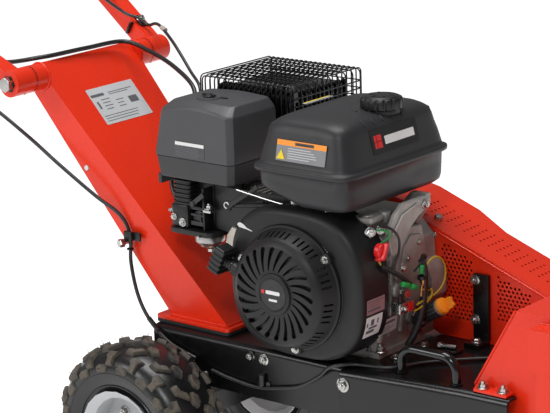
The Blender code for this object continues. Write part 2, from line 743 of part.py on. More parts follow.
def build_crankshaft():
    """Crankshaft with two webs, and the flywheel on its right end."""
    throw = 33.0
    pin_x = CRANK_X - throw * math.cos(CYLINDER_TILT)
    pin_z = CRANK_Z + throw * math.sin(CYLINDER_TILT)
    bm = rod((CRANK_X, -134.0, CRANK_Z), (CRANK_X, 2.0, CRANK_Z), CRANK_R, 20)
    for web_y in (0.0, 44.0):
        bm = union(bm, rod((CRANK_X, web_y, CRANK_Z), (CRANK_X, web_y + 16.0, CRANK_Z), 60.0, 20))
    bm = union(bm, rod((pin_x, 10.0, pin_z), (pin_x, 50.0, pin_z), 18.0, 14))
    bm = union(bm, rod((CRANK_X, 58.0, CRANK_Z), (CRANK_X, 214.0, CRANK_Z), CRANK_R, 20))
    add_object("crankshaft", bm, bright_steel(), (CRANK_X, 0.0, CRANK_Z))

    wheel = [(CRANK_R + 0.4, -126.0), (34.0, -126.0), (34.0, -94.0), (92.0, -94.0),
             (92.0, -78.0), (CRANK_R + 0.4, -78.0)]
    add_object("flywheel", turned(wheel, (CRANK_X, CRANK_Z), segments=24), cast_aluminium(),
               (CRANK_X, -90.0, CRANK_Z))


def tank_ring(inset, z):
    points = superellipse(106.0 - inset, 154.0 - inset, 6.0, (354.0, 1.0), 28)
    return [(x, y, z) for x, y in points]


def build_fuel_tank():
    """Rounded fuel tank with a pinched rim half-way up, open at the filler under its cap."""
    outer = [tank_ring(26.0, 604.0), tank_ring(9.0, 616.0), tank_ring(8.0, 661.0),
             tank_ring(0.0, 663.0), tank_ring(0.0, 671.0), tank_ring(6.0, 673.0),
             tank_ring(16.0, 712.0), tank_ring(35.0, 740.0), tank_ring(60.0, 750.0)]
    inner = [tank_ring(30.0, 608.0), tank_ring(13.0, 620.0), tank_ring(12.0, 668.0),
             tank_ring(21.0, 710.0), tank_ring(64.0, 745.0)]
    cap_x, cap_y = CAP_CENTRE
    neck = rod((cap_x, cap_y, 742.0), (cap_x, cap_y, 755.0), 27.0, 20)
    filler = rod((cap_x, cap_y, 730.0), (cap_x, cap_y, 770.0), 20.0, 16)
    bm = union(rings_to_bmesh(outer), neck)
    bm = cut(bm, filler, rings_to_bmesh(inner))
    add_object("fuel_tank", bm, black_plastic(), smooth_angle=40.0)

    top = 777.0
    cap = [(0.0, 755.0 + GAP), (29.0, 755.0 + GAP), (29.0, 753.0), (35.0, 753.0), (36.5, 757.0),
           (36.5, 770.0), (30.0, top - 1.0), (0.0, top)]
    add_object("fuel_cap", turned(cap, CAP_CENTRE, axis="Z", segments=20), black_plastic(),
               (cap_x, cap_y, 760.0))


CAP_CENTRE = (405.0, 20.0)


def build_air_filter():
    """Filter tray, its hood and the wing knob that holds the hood."""
    tray = box(14.0, 177.0, -114.0, 8.0, 612.0, 649.6, 6.0, 1)
    duct = box(40.0, 104.0, -104.0, -62.0, 608.0, 624.0)
    add_object("air_filter_base", union(tray, duct), grey_plastic())

    def ring(low, high, inset, z):
        outline = rounded_rectangle((low[0] + inset, low[1] + inset),
                                    (high[0] - inset, high[1] - inset), 10.0, 2)
        return [(x, y, z) for x, y in outline]

    seam, shoulder, top = 650.0, 733.0, 748.0
    foot = ((10.0, -120.0), (181.0, 14.0))
    waist = ((27.0, -117.0), (177.0, 11.0))
    crown = ((38.0, -100.0), (170.0, 0.0))
    hood = rings_to_bmesh([ring(*foot, 0.0, seam), ring(*waist, 0.0, shoulder), ring(*crown, 0.0, top)])
    hollow = rings_to_bmesh([ring(*foot, 2.0, seam - 10.0), ring(*waist, 3.0, shoulder - 2.0),
                             ring(*crown, 3.0, top - 3.0)])
    add_object("air_filter_cover", cut(hood, hollow), grey_plastic())

    knob_x, knob_y, knob_z = KNOB
    knob = [(0.0, knob_z), (9.0, knob_z), (9.0, knob_z + 5.0), (0.0, knob_z + 5.0)]
    wing = box(knob_x - 15.0, knob_x + 15.0, knob_y - 3.0, knob_y + 3.0, knob_z + 2.0,
               knob_z + 13.0, 2.0, 1)
    body = turned(knob, (knob_x, knob_y), axis="Z", segments=12)
    add_object("air_filter_knob", union(body, wing), black_plastic(), KNOB)


KNOB = (88.0, -58.0, 748.4)
CHOKE_PIVOT = (92.0, -117.0, 571.0)


def build_intake():
    """Carburettor under its ribbed cover, and the choke lever in front."""
    cover = box(32.0, 128.0, -110.0, -56.0, 520.0, 607.4, 6.0, 1)
    foot = prism_z(rounded_rectangle((26.0, -116.0), (134.0, -52.0), 20.0), 512.0, 521.0)
    add_object("carburettor_cover", union(cover, foot), black_plastic())

    centre = (100.0, -84.0)
    bowl = [(0.0, 511.6), (26.0, 511.6), (26.0, 498.0), (20.0, 493.0), (8.0, 486.0),
            (6.0, 486.0), (6.0, 477.0), (0.0, 477.0)]
    add_object("carburettor", turned(bowl, centre, axis="Z", segments=24), bright_steel())

    x, y, z = CHOKE_PIVOT
    pin = rod((x, -110.5, z), (x, y - 3.0, z), 5.0, 12)
    blade = leaning_box((x + 12.0, y, z + 9.0), (34.0, 3.0, 8.0), math.radians(-37.0))
    add_object("choke_lever", union(pin, blade), bright_steel(), CHOKE_PIVOT)


def hoop_outline(low, high, foot, top, wall=4.0):
    """Outline of a flat bar bent into an upside-down U."""
    return [(low, foot), (low, top), (high, top), (high, foot), (high - wall, foot),
            (high - wall, top - wall), (low + wall, top - wall), (low + wall, foot)]


def build_exhaust():
    """Silencer with its pipe, and the guard cage over it."""
    silencer = box(14.0, 196.0, 34.0, 206.0, 652.0, 754.0, 14.0, 2)
    outlet = rod((112.0, 56.0, 622.0), (112.0, 56.0, 660.0), 17.0, 12)
    add_object("muffler", union(silencer, outlet), black_paint())

    cage_x, cage_y = (-2.0, 212.0), (18.0, 222.0)
    top, skirt, bar = 767.0, 700.0, 5.0
    cage = box(*cage_x, *cage_y, skirt, skirt + 6.0)
    cage = cut(cage, box(cage_x[0] + 4.0, cage_x[1] - 4.0, cage_y[0] + 4.0, cage_y[1] - 4.0,
                         skirt - 10.0, skirt + 20.0))
    hoops = 4
    for index in range(hoops):
        x = cage_x[0] + 1.0 + (cage_x[1] - cage_x[0] - bar - 2.0) * index / (hoops - 1)
        hoop = [(y, z) for y, z in hoop_outline(cage_y[0] + 0.5, cage_y[1] - 0.5, skirt + 2.0, top)]
        rings = [[(place, y, z) for y, z in hoop] for place in (x, x + bar)]
        cage = union(cage, rings_to_bmesh(rings))
    for index in range(hoops):
        y = cage_y[0] + 1.5 + (cage_y[1] - cage_y[0] - bar - 3.0) * index / (hoops - 1)
        hoop = hoop_outline(cage_x[0] + 0.4, cage_x[1] - 0.4, skirt + 3.0, top - 1.0)
        cage = union(cage, prism_y(hoop, y, y + bar))
    add_object("muffler_cage", cage, black_paint())


SWITCH = (471.0, -86.0, 538.0)
DIPSTICK_RISE = math.radians(31.0)
DIPSTICK = (507.0, 40.0, 413.6)


def build_engine_controls():
    """Rotary ignition switch and the oil dipstick."""
    x, y, z = SWITCH
    body = [(0.0, x), (12.0, x), (12.0, x + 10.0), (10.0, x + 13.0), (0.0, x + 13.0)]
    knob = turned(body, (y, z), axis="X", segments=16)
    wing = box(x + 9.0, x + 19.0, y - 3.5, y + 3.5, z - 15.0, z + 15.0)
    add_object("ignition_switch", union(knob, wing), red_plastic(), SWITCH)

    x, y, z = DIPSTICK
    along = Vector((math.cos(DIPSTICK_RISE), 0.0, math.sin(DIPSTICK_RISE)))
    start = Vector(DIPSTICK)
    cap = rod(start, start + along * 9.0, 14.5, 14)
    stem = rod(start + along * 2.0, start - along * 60.0, 4.0, 8)
    tab = leaning_box(start + along * 16.0, (20.0, 6.0, 20.0), -DIPSTICK_RISE)
    add_object("dipstick", union(cap, stem, tab), orange_plastic(), DIPSTICK)


# ---------------------------------------------------------------- drive
def loop_outline(small, small_r, large, large_r, steps):
    """Outline in (x, z) of the tightest loop round two circles."""
    span_x, span_z = large[0] - small[0], large[1] - small[1]
    heading = math.degrees(math.atan2(span_z, span_x))
    spread = math.degrees(math.acos((small_r - large_r) / math.hypot(span_x, span_z)))
    outline = arc(small, small_r, heading + spread, heading + 360.0 - spread, steps)
    outline += arc(large, large_r, heading - spread, heading + spread, steps)
    return outline


def belt_outline(lift):
    """Outline of the belt at a height above the two groove floors."""
    return loop_outline((CRANK_X, CRANK_Z), DRIVE_PULLEY_R + lift, (CUTTER_X, CUTTER_Z),
                        DRIVEN_PULLEY_R + lift, 12)


def build_drive():
    """Clutch drum and pulley, banded V-belt, driven pulley, spindle and cutter wheel."""
    bore = CRANK_R + 0.5
    flange = 11.0
    low, high = BELT_Y[0] - 1.0, BELT_Y[1] + 1.0
    drum = [(bore, low - 4.0), (DRIVE_PULLEY_R + flange, low - 4.0), (DRIVE_PULLEY_R + flange, low),
            (DRIVE_PULLEY_R, low), (DRIVE_PULLEY_R, high), (62.0, high), (62.0, 204.0),
            (56.0, 204.0), (56.0, 171.0), (bore, 171.0)]
    add_object("clutch_drum", turned(drum, (CRANK_X, CRANK_Z), segments=24), bright_steel(),
               (CRANK_X, 160.0, CRANK_Z))

    clear = 0.6
    inner = belt_outline(clear)
    outer = belt_outline(clear + BELT_THICK)
    rings = [[(x, BELT_Y[0], z) for x, z in inner], [(x, BELT_Y[0], z) for x, z in outer],
             [(x, BELT_Y[1], z) for x, z in outer], [(x, BELT_Y[1], z) for x, z in inner]]
    add_object("drive_belt", rings_to_bmesh(rings, closed_loop=True), rubber())

    bore = SPINDLE_R + 0.4
    pulley = [(bore, low - 4.0), (DRIVEN_PULLEY_R + flange, low - 4.0),
              (DRIVEN_PULLEY_R + flange, low), (DRIVEN_PULLEY_R, low), (DRIVEN_PULLEY_R, high),
              (DRIVEN_PULLEY_R + flange, high), (DRIVEN_PULLEY_R + flange, high + 4.0),
              (bore, high + 4.0)]
    add_object("driven_pulley", turned(pulley, (CUTTER_X, CUTTER_Z), segments=24), bright_steel(),
               (CUTTER_X, 152.0, CUTTER_Z))

    spindle = rod((CUTTER_X, -112.0, CUTTER_Z), (CUTTER_X, 186.0, CUTTER_Z), SPINDLE_R, 24)
    add_object("cutter_spindle", spindle, bright_steel(), (CUTTER_X, 0.0, CUTTER_Z))


def build_cutter_wheel():
    """Thick disc with tool pockets round the rim, set by turns to its left and right."""
    bore = SPINDLE_R + 0.4
    disc_half = 12.0
    disc_r = 124.0
    profile = [(bore, -30.0), (42.0, -30.0), (42.0, -disc_half), (disc_r, -disc_half),
               (disc_r, disc_half), (42.0, disc_half), (42.0, 30.0), (bore, 30.0)]
    wheel = turned(profile, (CUTTER_X, CUTTER_Z), segments=24)
    teeth = 12
    tooth_r = CUTTER_R - 18.0
    for index in range(teeth):
        angle = 2.0 * math.pi * index / teeth
        lean = 5.0 if index % 2 else -5.0
        wide = 42.0 if index % 3 else 30.0
        middle = (CUTTER_X + tooth_r * math.cos(angle), lean, CUTTER_Z + tooth_r * math.sin(angle))
        pocket = leaning_box(middle, (34.0, wide, 20.0), -angle)
        wheel = union(wheel, pocket)
    add_object("cutter_wheel", wheel, bright_steel(), (CUTTER_X, 0.0, CUTTER_Z))


def build_bearings():
    """Flanged spindle bearings outside the housing's side plates."""
    bore = SPINDLE_R + 0.4
    for side, name in ((-1.0, "right"), (1.0, "left")):
        inner = HOUSING_HALF + GAP
        profile = [(bore, inner), (42.0, inner), (42.0, inner + 8.0), (31.0, inner + 10.0),
                   (31.0, inner + 24.0), (bore, inner + 24.0)]
        bearing = turned([(radius, side * along) for radius, along in profile],
                         (CUTTER_X, CUTTER_Z), segments=20)
        add_object("spindle_bearing_" + name, bearing, black_paint(), (CUTTER_X, 0.0, CUTTER_Z))


# ---------------------------------------------------------------- guards
def guard_outline(inset):
    """Outline in (x, z) that wraps both pulleys, drawn in by inset."""
    return loop_outline((334.4, 480.7), 86.0 - inset, (CUTTER_X, CUTTER_Z), 96.0 - inset, 10)


def guard_plan(inset):
    """Plan outline in (x, y) of the guard, deeper over the clutch than over the belt's far end."""
    far = GUARD_OUTER_Y - inset
    near = GUARD_FRONT_Y - inset
    return [(200.0, 60.0), (980.0, 60.0), (980.0, near), (520.0, near), (450.0, far), (200.0, far)]


def build_belt_guard():
    """Back plate between engine and belt, and the cover outside it."""
    plate_low = GUARD_INNER_Y
    plate_high = GUARD_INNER_Y + GUARD_PLATE
    step_low = GUARD_STEP_Y
    step_high = GUARD_STEP_Y + GUARD_PLATE
    plan = [(200.0, step_low), (GUARD_STEP_X - GUARD_PLATE, step_low),
            (GUARD_STEP_X - GUARD_PLATE, plate_low), (980.0, plate_low), (980.0, plate_high),
            (GUARD_STEP_X, plate_high), (GUARD_STEP_X, step_high), (200.0, step_high)]
    plate = prism_y(guard_outline(0.0), 90.0, 140.0)
    plate = combine(plate, prism_z(plan, 100.0, 700.0), "INTERSECT")
    under = box(400.0, 743.5, 90.0, 140.0, 100.0, FRONT_DECK_Z + GAP)
    shaft_hole = rod((CRANK_X, 90.0, CRANK_Z), (CRANK_X, 160.0, CRANK_Z), 30.0, 20)
    spindle_hole = rod((CUTTER_X, 90.0, CUTTER_Z), (CUTTER_X, 160.0, CUTTER_Z), 30.0, 20)
    add_object("guard_back_plate", cut(plate, under, shaft_hole, spindle_hole), red_paint())

    wall = 2.6
    inner_y = plate_high + GAP
    shell = combine(prism_y(guard_outline(0.0), inner_y, 260.0),
                    prism_z(guard_plan(0.0), 100.0, 700.0), "INTERSECT")
    hollow = combine(prism_y(guard_outline(wall), 80.0, 260.0),
                     prism_z(guard_plan(wall), 90.0, 710.0), "INTERSECT")
    step = box(190.0, GUARD_STEP_X + 1.0, 90.0, step_high + GAP, 300.0, 700.0)
    over_deck = box(390.0, 745.0, 90.0, 145.0, 100.0, FRONT_DECK_Z + 4.0)
    add_object("belt_guard_cover", cut(shell, hollow, step, over_deck), red_paint())

    bracket = box(532.0, 563.0, 100.0, GUARD_INNER_Y - GAP, 345.0, 462.0)
    foot = box(532.0, 563.0, 70.0, 104.0, FRONT_DECK_Z + GAP, 346.0)
    add_object("guard_bracket", union(bracket, foot), black_paint())


def build_cutter_housing():
    """Welded hood over the cutter: open below, with a side box over the right bearing."""
    lip = FRONT_DECK_Z + 1.5
    outer = [(680.0, HOUSING_BOTTOM), (680.0, lip), (656.0, lip), (737.0, HOUSING_TOP),
             (905.0, HOUSING_TOP), (985.0, 420.0), (1016.0, 340.0), (1016.0, HOUSING_BOTTOM)]
    inner = [(685.0, HOUSING_BOTTOM - 20.0), (685.0, 345.0), (668.0, 345.0), (740.5, 473.0),
             (903.0, 473.0), (981.0, 416.5), (1011.0, 339.0), (1011.0, HOUSING_BOTTOM - 20.0)]
    bm = prism_y(outer, -HOUSING_HALF, HOUSING_HALF)
    hood = box(786.0, 930.0, -120.0, -HOUSING_HALF + 2.0, 398.0, 466.0)
    skirt = box(800.0, 916.0, -118.0, -HOUSING_HALF + 2.0, 214.0, 402.0)
    bm = union(bm, hood, skirt)
    hood_hollow = box(790.0, 926.0, -116.0, -HOUSING_HALF, 402.0, 462.0)
    skirt_hollow = box(804.0, 912.0, -114.0, -HOUSING_HALF, 200.0, 410.0)
    hole = rod((CUTTER_X, -100.0, CUTTER_Z), (CUTTER_X, 100.0, CUTTER_Z), 26.0, 20)
    bm = cut(bm, skirt_hollow, hood_hollow, prism_y(inner, -HOUSING_HALF + SHEET, HOUSING_HALF - SHEET),
             hole)
    for side in (-1.0, 1.0):
        low, high = sorted((side * 76.0, side * 105.0))
        flange = [(660.0, low), (735.0, low), (735.0, high), (672.0, high)]
        if side < 0:
            flange = [(660.0, high), (735.0, high), (735.0, low), (672.0, low)]
        bm = union(bm, prism_z(flange, FRONT_DECK_Z + GAP, 342.0))
    add_object("cutter_housing", bm, red_paint())

    curtain = box(673.5, 679.5, -76.0, 76.0, 96.0, 300.0)
    add_object("debris_curtain", curtain, rubber())


def build_pivot_bolt():
    """Long clamp bolt through both sleeves, with a hex head at each end."""
    bm = rod((PIVOT_X, -214.0, PIVOT_Z), (PIVOT_X, 214.0, PIVOT_Z), BOLT_R, 12)
    for side in (-1.0, 1.0):
        head = rod((PIVOT_X, side * 203.6, PIVOT_Z), (PIVOT_X, side * 215.0, PIVOT_Z), 14.0, 6)
        bm = union(bm, head)
    add_object("pivot_bolt", bm, bright_steel(), (PIVOT_X, 0.0, PIVOT_Z))


# ---------------------------------------------------------------- cables
def build_cables():
    """Brake, throttle and stop cables, each in an upper and a lower run, and the deck cable."""
    thick, thin, wide = 3.5, 3.0, 4.2
    black = rubber()
    right, left = -1.0, 1.0
    brake_joint = along_arm(right, 150.0, -23.0, -20.0)
    cable("brake_cable_upper",
          [(-648.0, -262.0, 971.0), along_arm(right, 400.0, 0.0, -26.0),
           along_arm(right, 330.0, -6.0, -28.0), along_arm(right, 230.0, -23.0, -18.0),
           brake_joint + Vector((-4.5, 0.0, 2.7))], thick, black)
    cable("brake_cable_lower",
          [brake_joint, (-396.0, -192.0, 770.0), (-380.0, -188.0, 722.0), (-352.0, -160.0, 700.0),
           (-275.0, -145.0, 649.0), (-207.0, -140.0, 606.0), (-134.0, -128.0, 557.0),
           (-89.5, -112.0, 523.0), (-71.0, -108.0, 487.0), (-70.0, -110.0, 437.0),
           (-49.0, -118.0, 381.0), (-17.0, -124.0, 341.0), (30.0, -126.0, 308.0),
           (84.0, -124.5, 290.0)], thick, black)
    throttle_joint = along_arm(left, 40.0, 0.0, 26.0)
    cable("throttle_cable_upper",
          [(-553.0, 226.0, 944.0), along_arm(left, 332.0, -24.0, 20.0),
           along_arm(left, 290.0, -23.0, 6.0), along_arm(left, 180.0, -23.0, 2.0),
           along_arm(left, 90.0, -24.0, 20.0), along_arm(left, 62.0, -10.0, 27.0),
           throttle_joint + Vector((-4.5, 0.0, 2.7))], thin, black)
    cable("throttle_cable_lower",
          [throttle_joint, (-250.0, 180.0, 811.0), (-211.0, 155.0, 810.0), (-142.0, 112.0, 792.0),
           (-78.0, 80.0, 756.0), (-28.0, 50.0, 730.0), (-26.0, 30.0, 680.0), (-24.0, -6.0, 630.0),
           (-12.0, -40.0, 580.0), (24.0, -62.0, 545.0)], thin, black)
    stop_joint = along_arm(right, 110.0, -24.0, 6.0)
    cable("stop_wire_upper",
          [(-528.0, -132.0, 941.6), (-516.0, -180.0, 930.0), along_arm(right, 300.0, -24.0, 4.0),
           along_arm(right, 200.0, -24.0, 6.0), stop_joint + Vector((-5.5, 0.0, 3.3))], wide, black)
    cable("stop_wire_lower",
          [stop_joint, (-337.0, -150.0, 786.0), (-275.0, -100.0, 792.0), (-262.0, 0.0, 793.0),
           (-246.0, 84.0, 793.0), (-188.0, 90.0, 780.0), (-95.0, 60.0, 762.0), (-20.0, 25.0, 735.0),
           (-12.0, 0.0, 690.0), (-8.0, -34.0, 640.0), (4.0, -72.0, 592.0), (24.0, -84.0, 562.0)],
          wide, black)
    cable("deck_cable",
          [(128.0, -124.0, 274.0), (169.0, -124.0, 267.0), (230.0, -124.0, 262.5),
           (282.0, -124.0, 271.0), (327.0, -124.0, 283.6), (371.0, -126.0, 310.4),
           (400.0, -138.0, 334.0), (424.0, -138.0, 344.0), (444.5, -117.0, 343.0),
           (500.0, -97.0, 342.0), (526.0, -49.0, 341.5), (565.0, -3.0, 341.5),
           (608.0, 38.0, 341.5)], 3.2, black)


def main():
    for old in list(bpy.data.objects):
        bpy.data.objects.remove(old)
    build_rear_chassis()
    build_front_chassis()
    build_axle()
    build_lift_loop()
    build_parking_stand()
    build_wheel(-1.0, "right")
    build_wheel(1.0, "left")
    build_brake_arm()
    build_column()
    build_handlebar()
    build_hand_controls()
    build_pivot_bolt()
    build_crankcase()
    build_cylinder()
    build_blower_housing()
    build_starter()
    build_crankshaft()
    build_fuel_tank()
    build_air_filter()
    build_intake()
    build_exhaust()
    build_engine_controls()
    build_drive()
    build_cutter_wheel()
    build_bearings()
    build_belt_guard()
    build_cutter_housing()
    build_cables()


main()
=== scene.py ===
"""Looks of the walk-behind stump grinder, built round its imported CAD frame.

Shapes are drawn in station millimetres, as the CAD is: X forwards from the column's foot,
Y to the machine's left, Z up from the ground. add() turns them into metres in the frame.
"""
import math
import random

import bmesh
import bpy
from mathutils import Matrix, Vector


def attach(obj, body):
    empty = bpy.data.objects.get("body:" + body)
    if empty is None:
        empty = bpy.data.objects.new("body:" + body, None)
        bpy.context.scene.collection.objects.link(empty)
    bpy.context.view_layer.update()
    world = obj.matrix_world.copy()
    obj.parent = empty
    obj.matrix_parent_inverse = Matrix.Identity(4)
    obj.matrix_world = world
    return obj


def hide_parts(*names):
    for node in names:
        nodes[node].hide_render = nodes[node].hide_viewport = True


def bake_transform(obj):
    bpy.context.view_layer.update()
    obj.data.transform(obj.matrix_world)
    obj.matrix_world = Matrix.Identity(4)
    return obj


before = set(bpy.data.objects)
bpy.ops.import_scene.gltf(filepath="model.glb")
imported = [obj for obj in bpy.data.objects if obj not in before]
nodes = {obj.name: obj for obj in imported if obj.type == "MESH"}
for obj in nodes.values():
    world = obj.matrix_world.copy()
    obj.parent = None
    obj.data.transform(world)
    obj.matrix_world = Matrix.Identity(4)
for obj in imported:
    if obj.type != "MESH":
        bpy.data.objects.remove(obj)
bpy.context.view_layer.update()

MM = 0.001
SHIFT = Vector((-106.0, 0.0, 0.0))     # from the station datum to the frame's origin
RIGHT, LEFT = -1.0, 1.0
UP = Vector((0.0, 0.0, 1.0))
X_AXIS = Vector((1.0, 0.0, 0.0))
Y_AXIS = Vector((0.0, 1.0, 0.0))

AXLE = (25.0, 166.0)                   # (x, z) of the wheels
CRANK = (327.0, 463.5)
CUTTER = (848.0, 280.0)
PIVOT = (-260.6, 761.5)
TRACK = 200.0
GUARD_SLOPE = -0.369                   # rise over run of the guard's straight top
WORLD_LIGHT = 0.20
EXPOSURE = 0.0
LIGHTS = [
    # name, place, (width, height), watts
    ("key", (-1.7, -3.2, 2.4), (1.6, 1.6), 54.0),
    ("top", (-0.3, 0.1, 4.2), (2.4, 2.4), 125.0),
    ("edge", (1.62, -2.83, 2.9), (0.7, 0.7), 36.0),
]


# ---------------------------------------------------------------- materials
def noise_for(tree, scale, detail, source=None):
    """A noise texture in the object's own coordinates."""
    coordinates = tree.nodes.new("ShaderNodeTexCoord")
    noise = tree.nodes.new("ShaderNodeTexNoise")
    noise.inputs["Scale"].default_value = scale
    noise.inputs["Detail"].default_value = detail
    tree.links.new(source or coordinates.outputs["Object"], noise.inputs["Vector"])
    return noise


def finish(name, slot, colour, rough, metallic=0.0, coat=0.0, swing=0.12, patch=25.0,
           grain=900.0, depth=0.0, height=0.15, dust=None, dust_from=0.55, shine=0.5):
    """A surface whose colour and gloss drift in patches and whose grain stands up as a bump.

    patch and grain are noise scales per metre, depth the grain's strength, and dust a second
    colour that gathers where the patch noise is high.
    """
    skin = bpy.data.materials.new(name)
    skin["slot"] = slot
    skin.use_nodes = True
    tree = skin.node_tree
    shader = tree.nodes["Principled BSDF"]
    shader.inputs["Metallic"].default_value = metallic
    shader.inputs["Coat Weight"].default_value = coat
    shader.inputs["Coat Roughness"].default_value = 0.08
    shader.inputs["Specular IOR Level"].default_value = shine

    drift = noise_for(tree, patch, 4.0)
    ramp = tree.nodes.new("ShaderNodeValToRGB")
    ramp.color_ramp.elements[0].position = 0.3
    ramp.color_ramp.elements[1].position = 0.7
    ramp.color_ramp.elements[0].color = (*[c * (1.0 - swing) for c in colour], 1.0)
    ramp.color_ramp.elements[1].color = (*[min(1.0, c * (1.0 + swing)) for c in colour], 1.0)
    if dust:
        last = ramp.color_ramp.elements.new(min(0.99, dust_from + 0.12))
        last.color = (*dust, 1.0)
        ramp.color_ramp.elements[1].position = dust_from
    tree.links.new(drift.outputs["Fac"], ramp.inputs["Fac"])
    tree.links.new(ramp.outputs["Color"], shader.inputs["Base Color"])

    gloss = tree.nodes.new("ShaderNodeMapRange")
    gloss.inputs["To Min"].default_value = max(0.02, rough * 0.8)
    gloss.inputs["To Max"].default_value = min(1.0, rough * 1.2)
    tree.links.new(noise_for(tree, patch * 5.0, 3.0).outputs["Fac"], gloss.inputs["Value"])
    tree.links.new(gloss.outputs["Result"], shader.inputs["Roughness"])

    if depth:
        bump = tree.nodes.new("ShaderNodeBump")
        bump.inputs["Strength"].default_value = depth
        bump.inputs["Distance"].default_value = height * MM
        tree.links.new(noise_for(tree, grain, 3.0).outputs["Fac"], bump.inputs["Height"])
        tree.links.new(bump.outputs["Normal"], shader.inputs["Normal"])
    return skin


def leather(name, slot, colour):
    """Moulded plastic with a leather grain."""
    skin = finish(name, slot, colour, 0.55)
    tree = skin.node_tree
    cells = tree.nodes.new("ShaderNodeTexVoronoi")
    cells.inputs["Scale"].default_value = 420.0
    place = tree.nodes.new("ShaderNodeTexCoord")
    bump = tree.nodes.new("ShaderNodeBump")
    bump.inputs["Strength"].default_value = 0.7
    bump.inputs["Distance"].default_value = 0.5 * MM
    tree.links.new(place.outputs["Object"], cells.inputs["Vector"])
    tree.links.new(cells.outputs["Distance"], bump.inputs["Height"])
    tree.links.new(bump.outputs["Normal"], tree.nodes["Principled BSDF"].inputs["Normal"])
    return skin


RED = finish("red_gloss", "red_paint", (0.72, 0.028, 0.006), 0.27, coat=0.04, swing=0.03,
             patch=6.0, grain=420.0, depth=0.10, height=0.12, shine=0.3)
SATIN = finish("black_satin", "black_paint", (0.0045, 0.0045, 0.005), 0.25, swing=0.2, patch=9.0,
               grain=600.0, depth=0.18, height=0.12, shine=0.4)
GLOSS_BLACK = finish("black_enamel", "black_paint", (0.004, 0.004, 0.0045), 0.15, patch=12.0,
                     grain=500.0, depth=0.12, shine=0.45)
SHELL = finish("blower_black", "black_plastic", (0.0085, 0.0085, 0.0095), 0.46, swing=0.1,
               patch=8.0, grain=1600.0, depth=0.35, height=0.12, shine=0.35)
MOULD = finish("moulded_black", "black_plastic", (0.009, 0.009, 0.010), 0.38, swing=0.12,
               grain=1300.0, depth=0.3, height=0.12, shine=0.4)
TANK = finish("tank_black", "black_plastic", (0.022, 0.022, 0.024), 0.44, swing=0.08, patch=7.0,
              grain=1800.0, depth=0.4, height=0.14, shine=0.35)
FILTER = finish("filter_grey", "grey_plastic", (0.048, 0.048, 0.052), 0.44, swing=0.07, patch=7.0,
                grain=1800.0, depth=0.4, height=0.14)
TRAY = finish("tray_grey", "grey_plastic", (0.022, 0.022, 0.0245), 0.46, swing=0.08, patch=8.0,
              grain=1600.0, depth=0.35)
LEATHER = leather("hub_grain", "black_plastic", (0.016, 0.016, 0.017))
CAST = finish("cast_alloy", "cast_aluminium", (0.33, 0.315, 0.295), 0.45, metallic=0.35, swing=0.2,
              patch=30.0, grain=500.0, depth=0.5, height=0.35)
BEIGE = finish("cast_beige", "cast_aluminium", (0.50, 0.46, 0.40), 0.5, metallic=0.5, swing=0.15,
               patch=40.0, grain=500.0, depth=0.4, height=0.3)
ZINC = finish("zinc_plate", "bright_steel", (0.44, 0.435, 0.42), 0.27, metallic=1.0, swing=0.15,
              patch=60.0, grain=900.0, depth=0.15)
STEEL = finish("ground_steel", "bright_steel", (0.36, 0.35, 0.34), 0.33, metallic=1.0, swing=0.2,
               patch=30.0, grain=700.0, depth=0.25)
DARK_STEEL = finish("dark_steel", "grey_plastic", (0.04, 0.04, 0.042), 0.4, metallic=0.6,
                    swing=0.2, patch=30.0, grain=700.0, depth=0.25)
COPPER = finish("copper_tint", "bright_steel", (0.46, 0.30, 0.21), 0.3, metallic=1.0, patch=60.0)
BRASS = finish("brass_pin", "bright_steel", (0.62, 0.43, 0.16), 0.28, metallic=1.0, patch=60.0)
SHEATH = finish("cable_sheath", "rubber", (0.011, 0.011, 0.012), 0.36, swing=0.15, patch=30.0,
                grain=1500.0, depth=0.2)
RUBBER = finish("soft_rubber", "rubber", (0.013, 0.013, 0.013), 0.62, swing=0.15, patch=20.0,
                grain=1200.0, depth=0.4)
TYRE = finish("tyre_carcass", "tyre_rubber", (0.008, 0.008, 0.009), 0.30, swing=0.25, patch=14.0,
              grain=900.0, depth=0.3, height=0.2)
LUG = finish("tyre_lug", "tyre_rubber", (0.020, 0.019, 0.018), 0.58, swing=0.3, patch=30.0,
             grain=700.0, depth=0.6, height=0.4, dust=(0.085, 0.070, 0.052), dust_from=0.5)
ORANGE = finish("orange_mould", "orange_plastic", (0.86, 0.27, 0.012), 0.35, swing=0.04, patch=20.0,
                grain=900.0, depth=0.15)
RED_KNOB = finish("red_mould", "red_plastic", (0.62, 0.008, 0.010), 0.3, swing=0.05, patch=20.0,
                  grain=900.0, depth=0.15)
GREEN = finish("green_sleeve", "black_plastic", (0.012, 0.30, 0.055), 0.4, swing=0.08)
YELLOW = finish("yellow_wire", "black_plastic", (0.55, 0.36, 0.015), 0.42, swing=0.1)
WHITE = finish("label_white", "bright_steel", (0.66, 0.66, 0.65), 0.38, swing=0.04)
SILVER = finish("label_silver", "bright_steel", (0.50, 0.51, 0.52), 0.36,
                swing=0.04, patch=12.0)
INK = finish("label_ink", "black_plastic", (0.10, 0.10, 0.11), 0.5, swing=0.05)
BLACK_LABEL = finish("label_black", "black_plastic", (0.006, 0.006, 0.006), 0.3, swing=0.05)
LABEL_ORANGE = finish("label_orange", "orange_plastic", (0.80, 0.26, 0.02), 0.4, swing=0.04)
LABEL_YELLOW = finish("label_yellow", "orange_plastic", (0.72, 0.52, 0.01), 0.4, swing=0.04)
LABEL_RED = finish("label_red", "red_plastic", (0.60, 0.012, 0.012), 0.36, swing=0.04)
MAUVE = finish("label_mauve", "grey_plastic", (0.30, 0.16, 0.17), 0.5, swing=0.05)


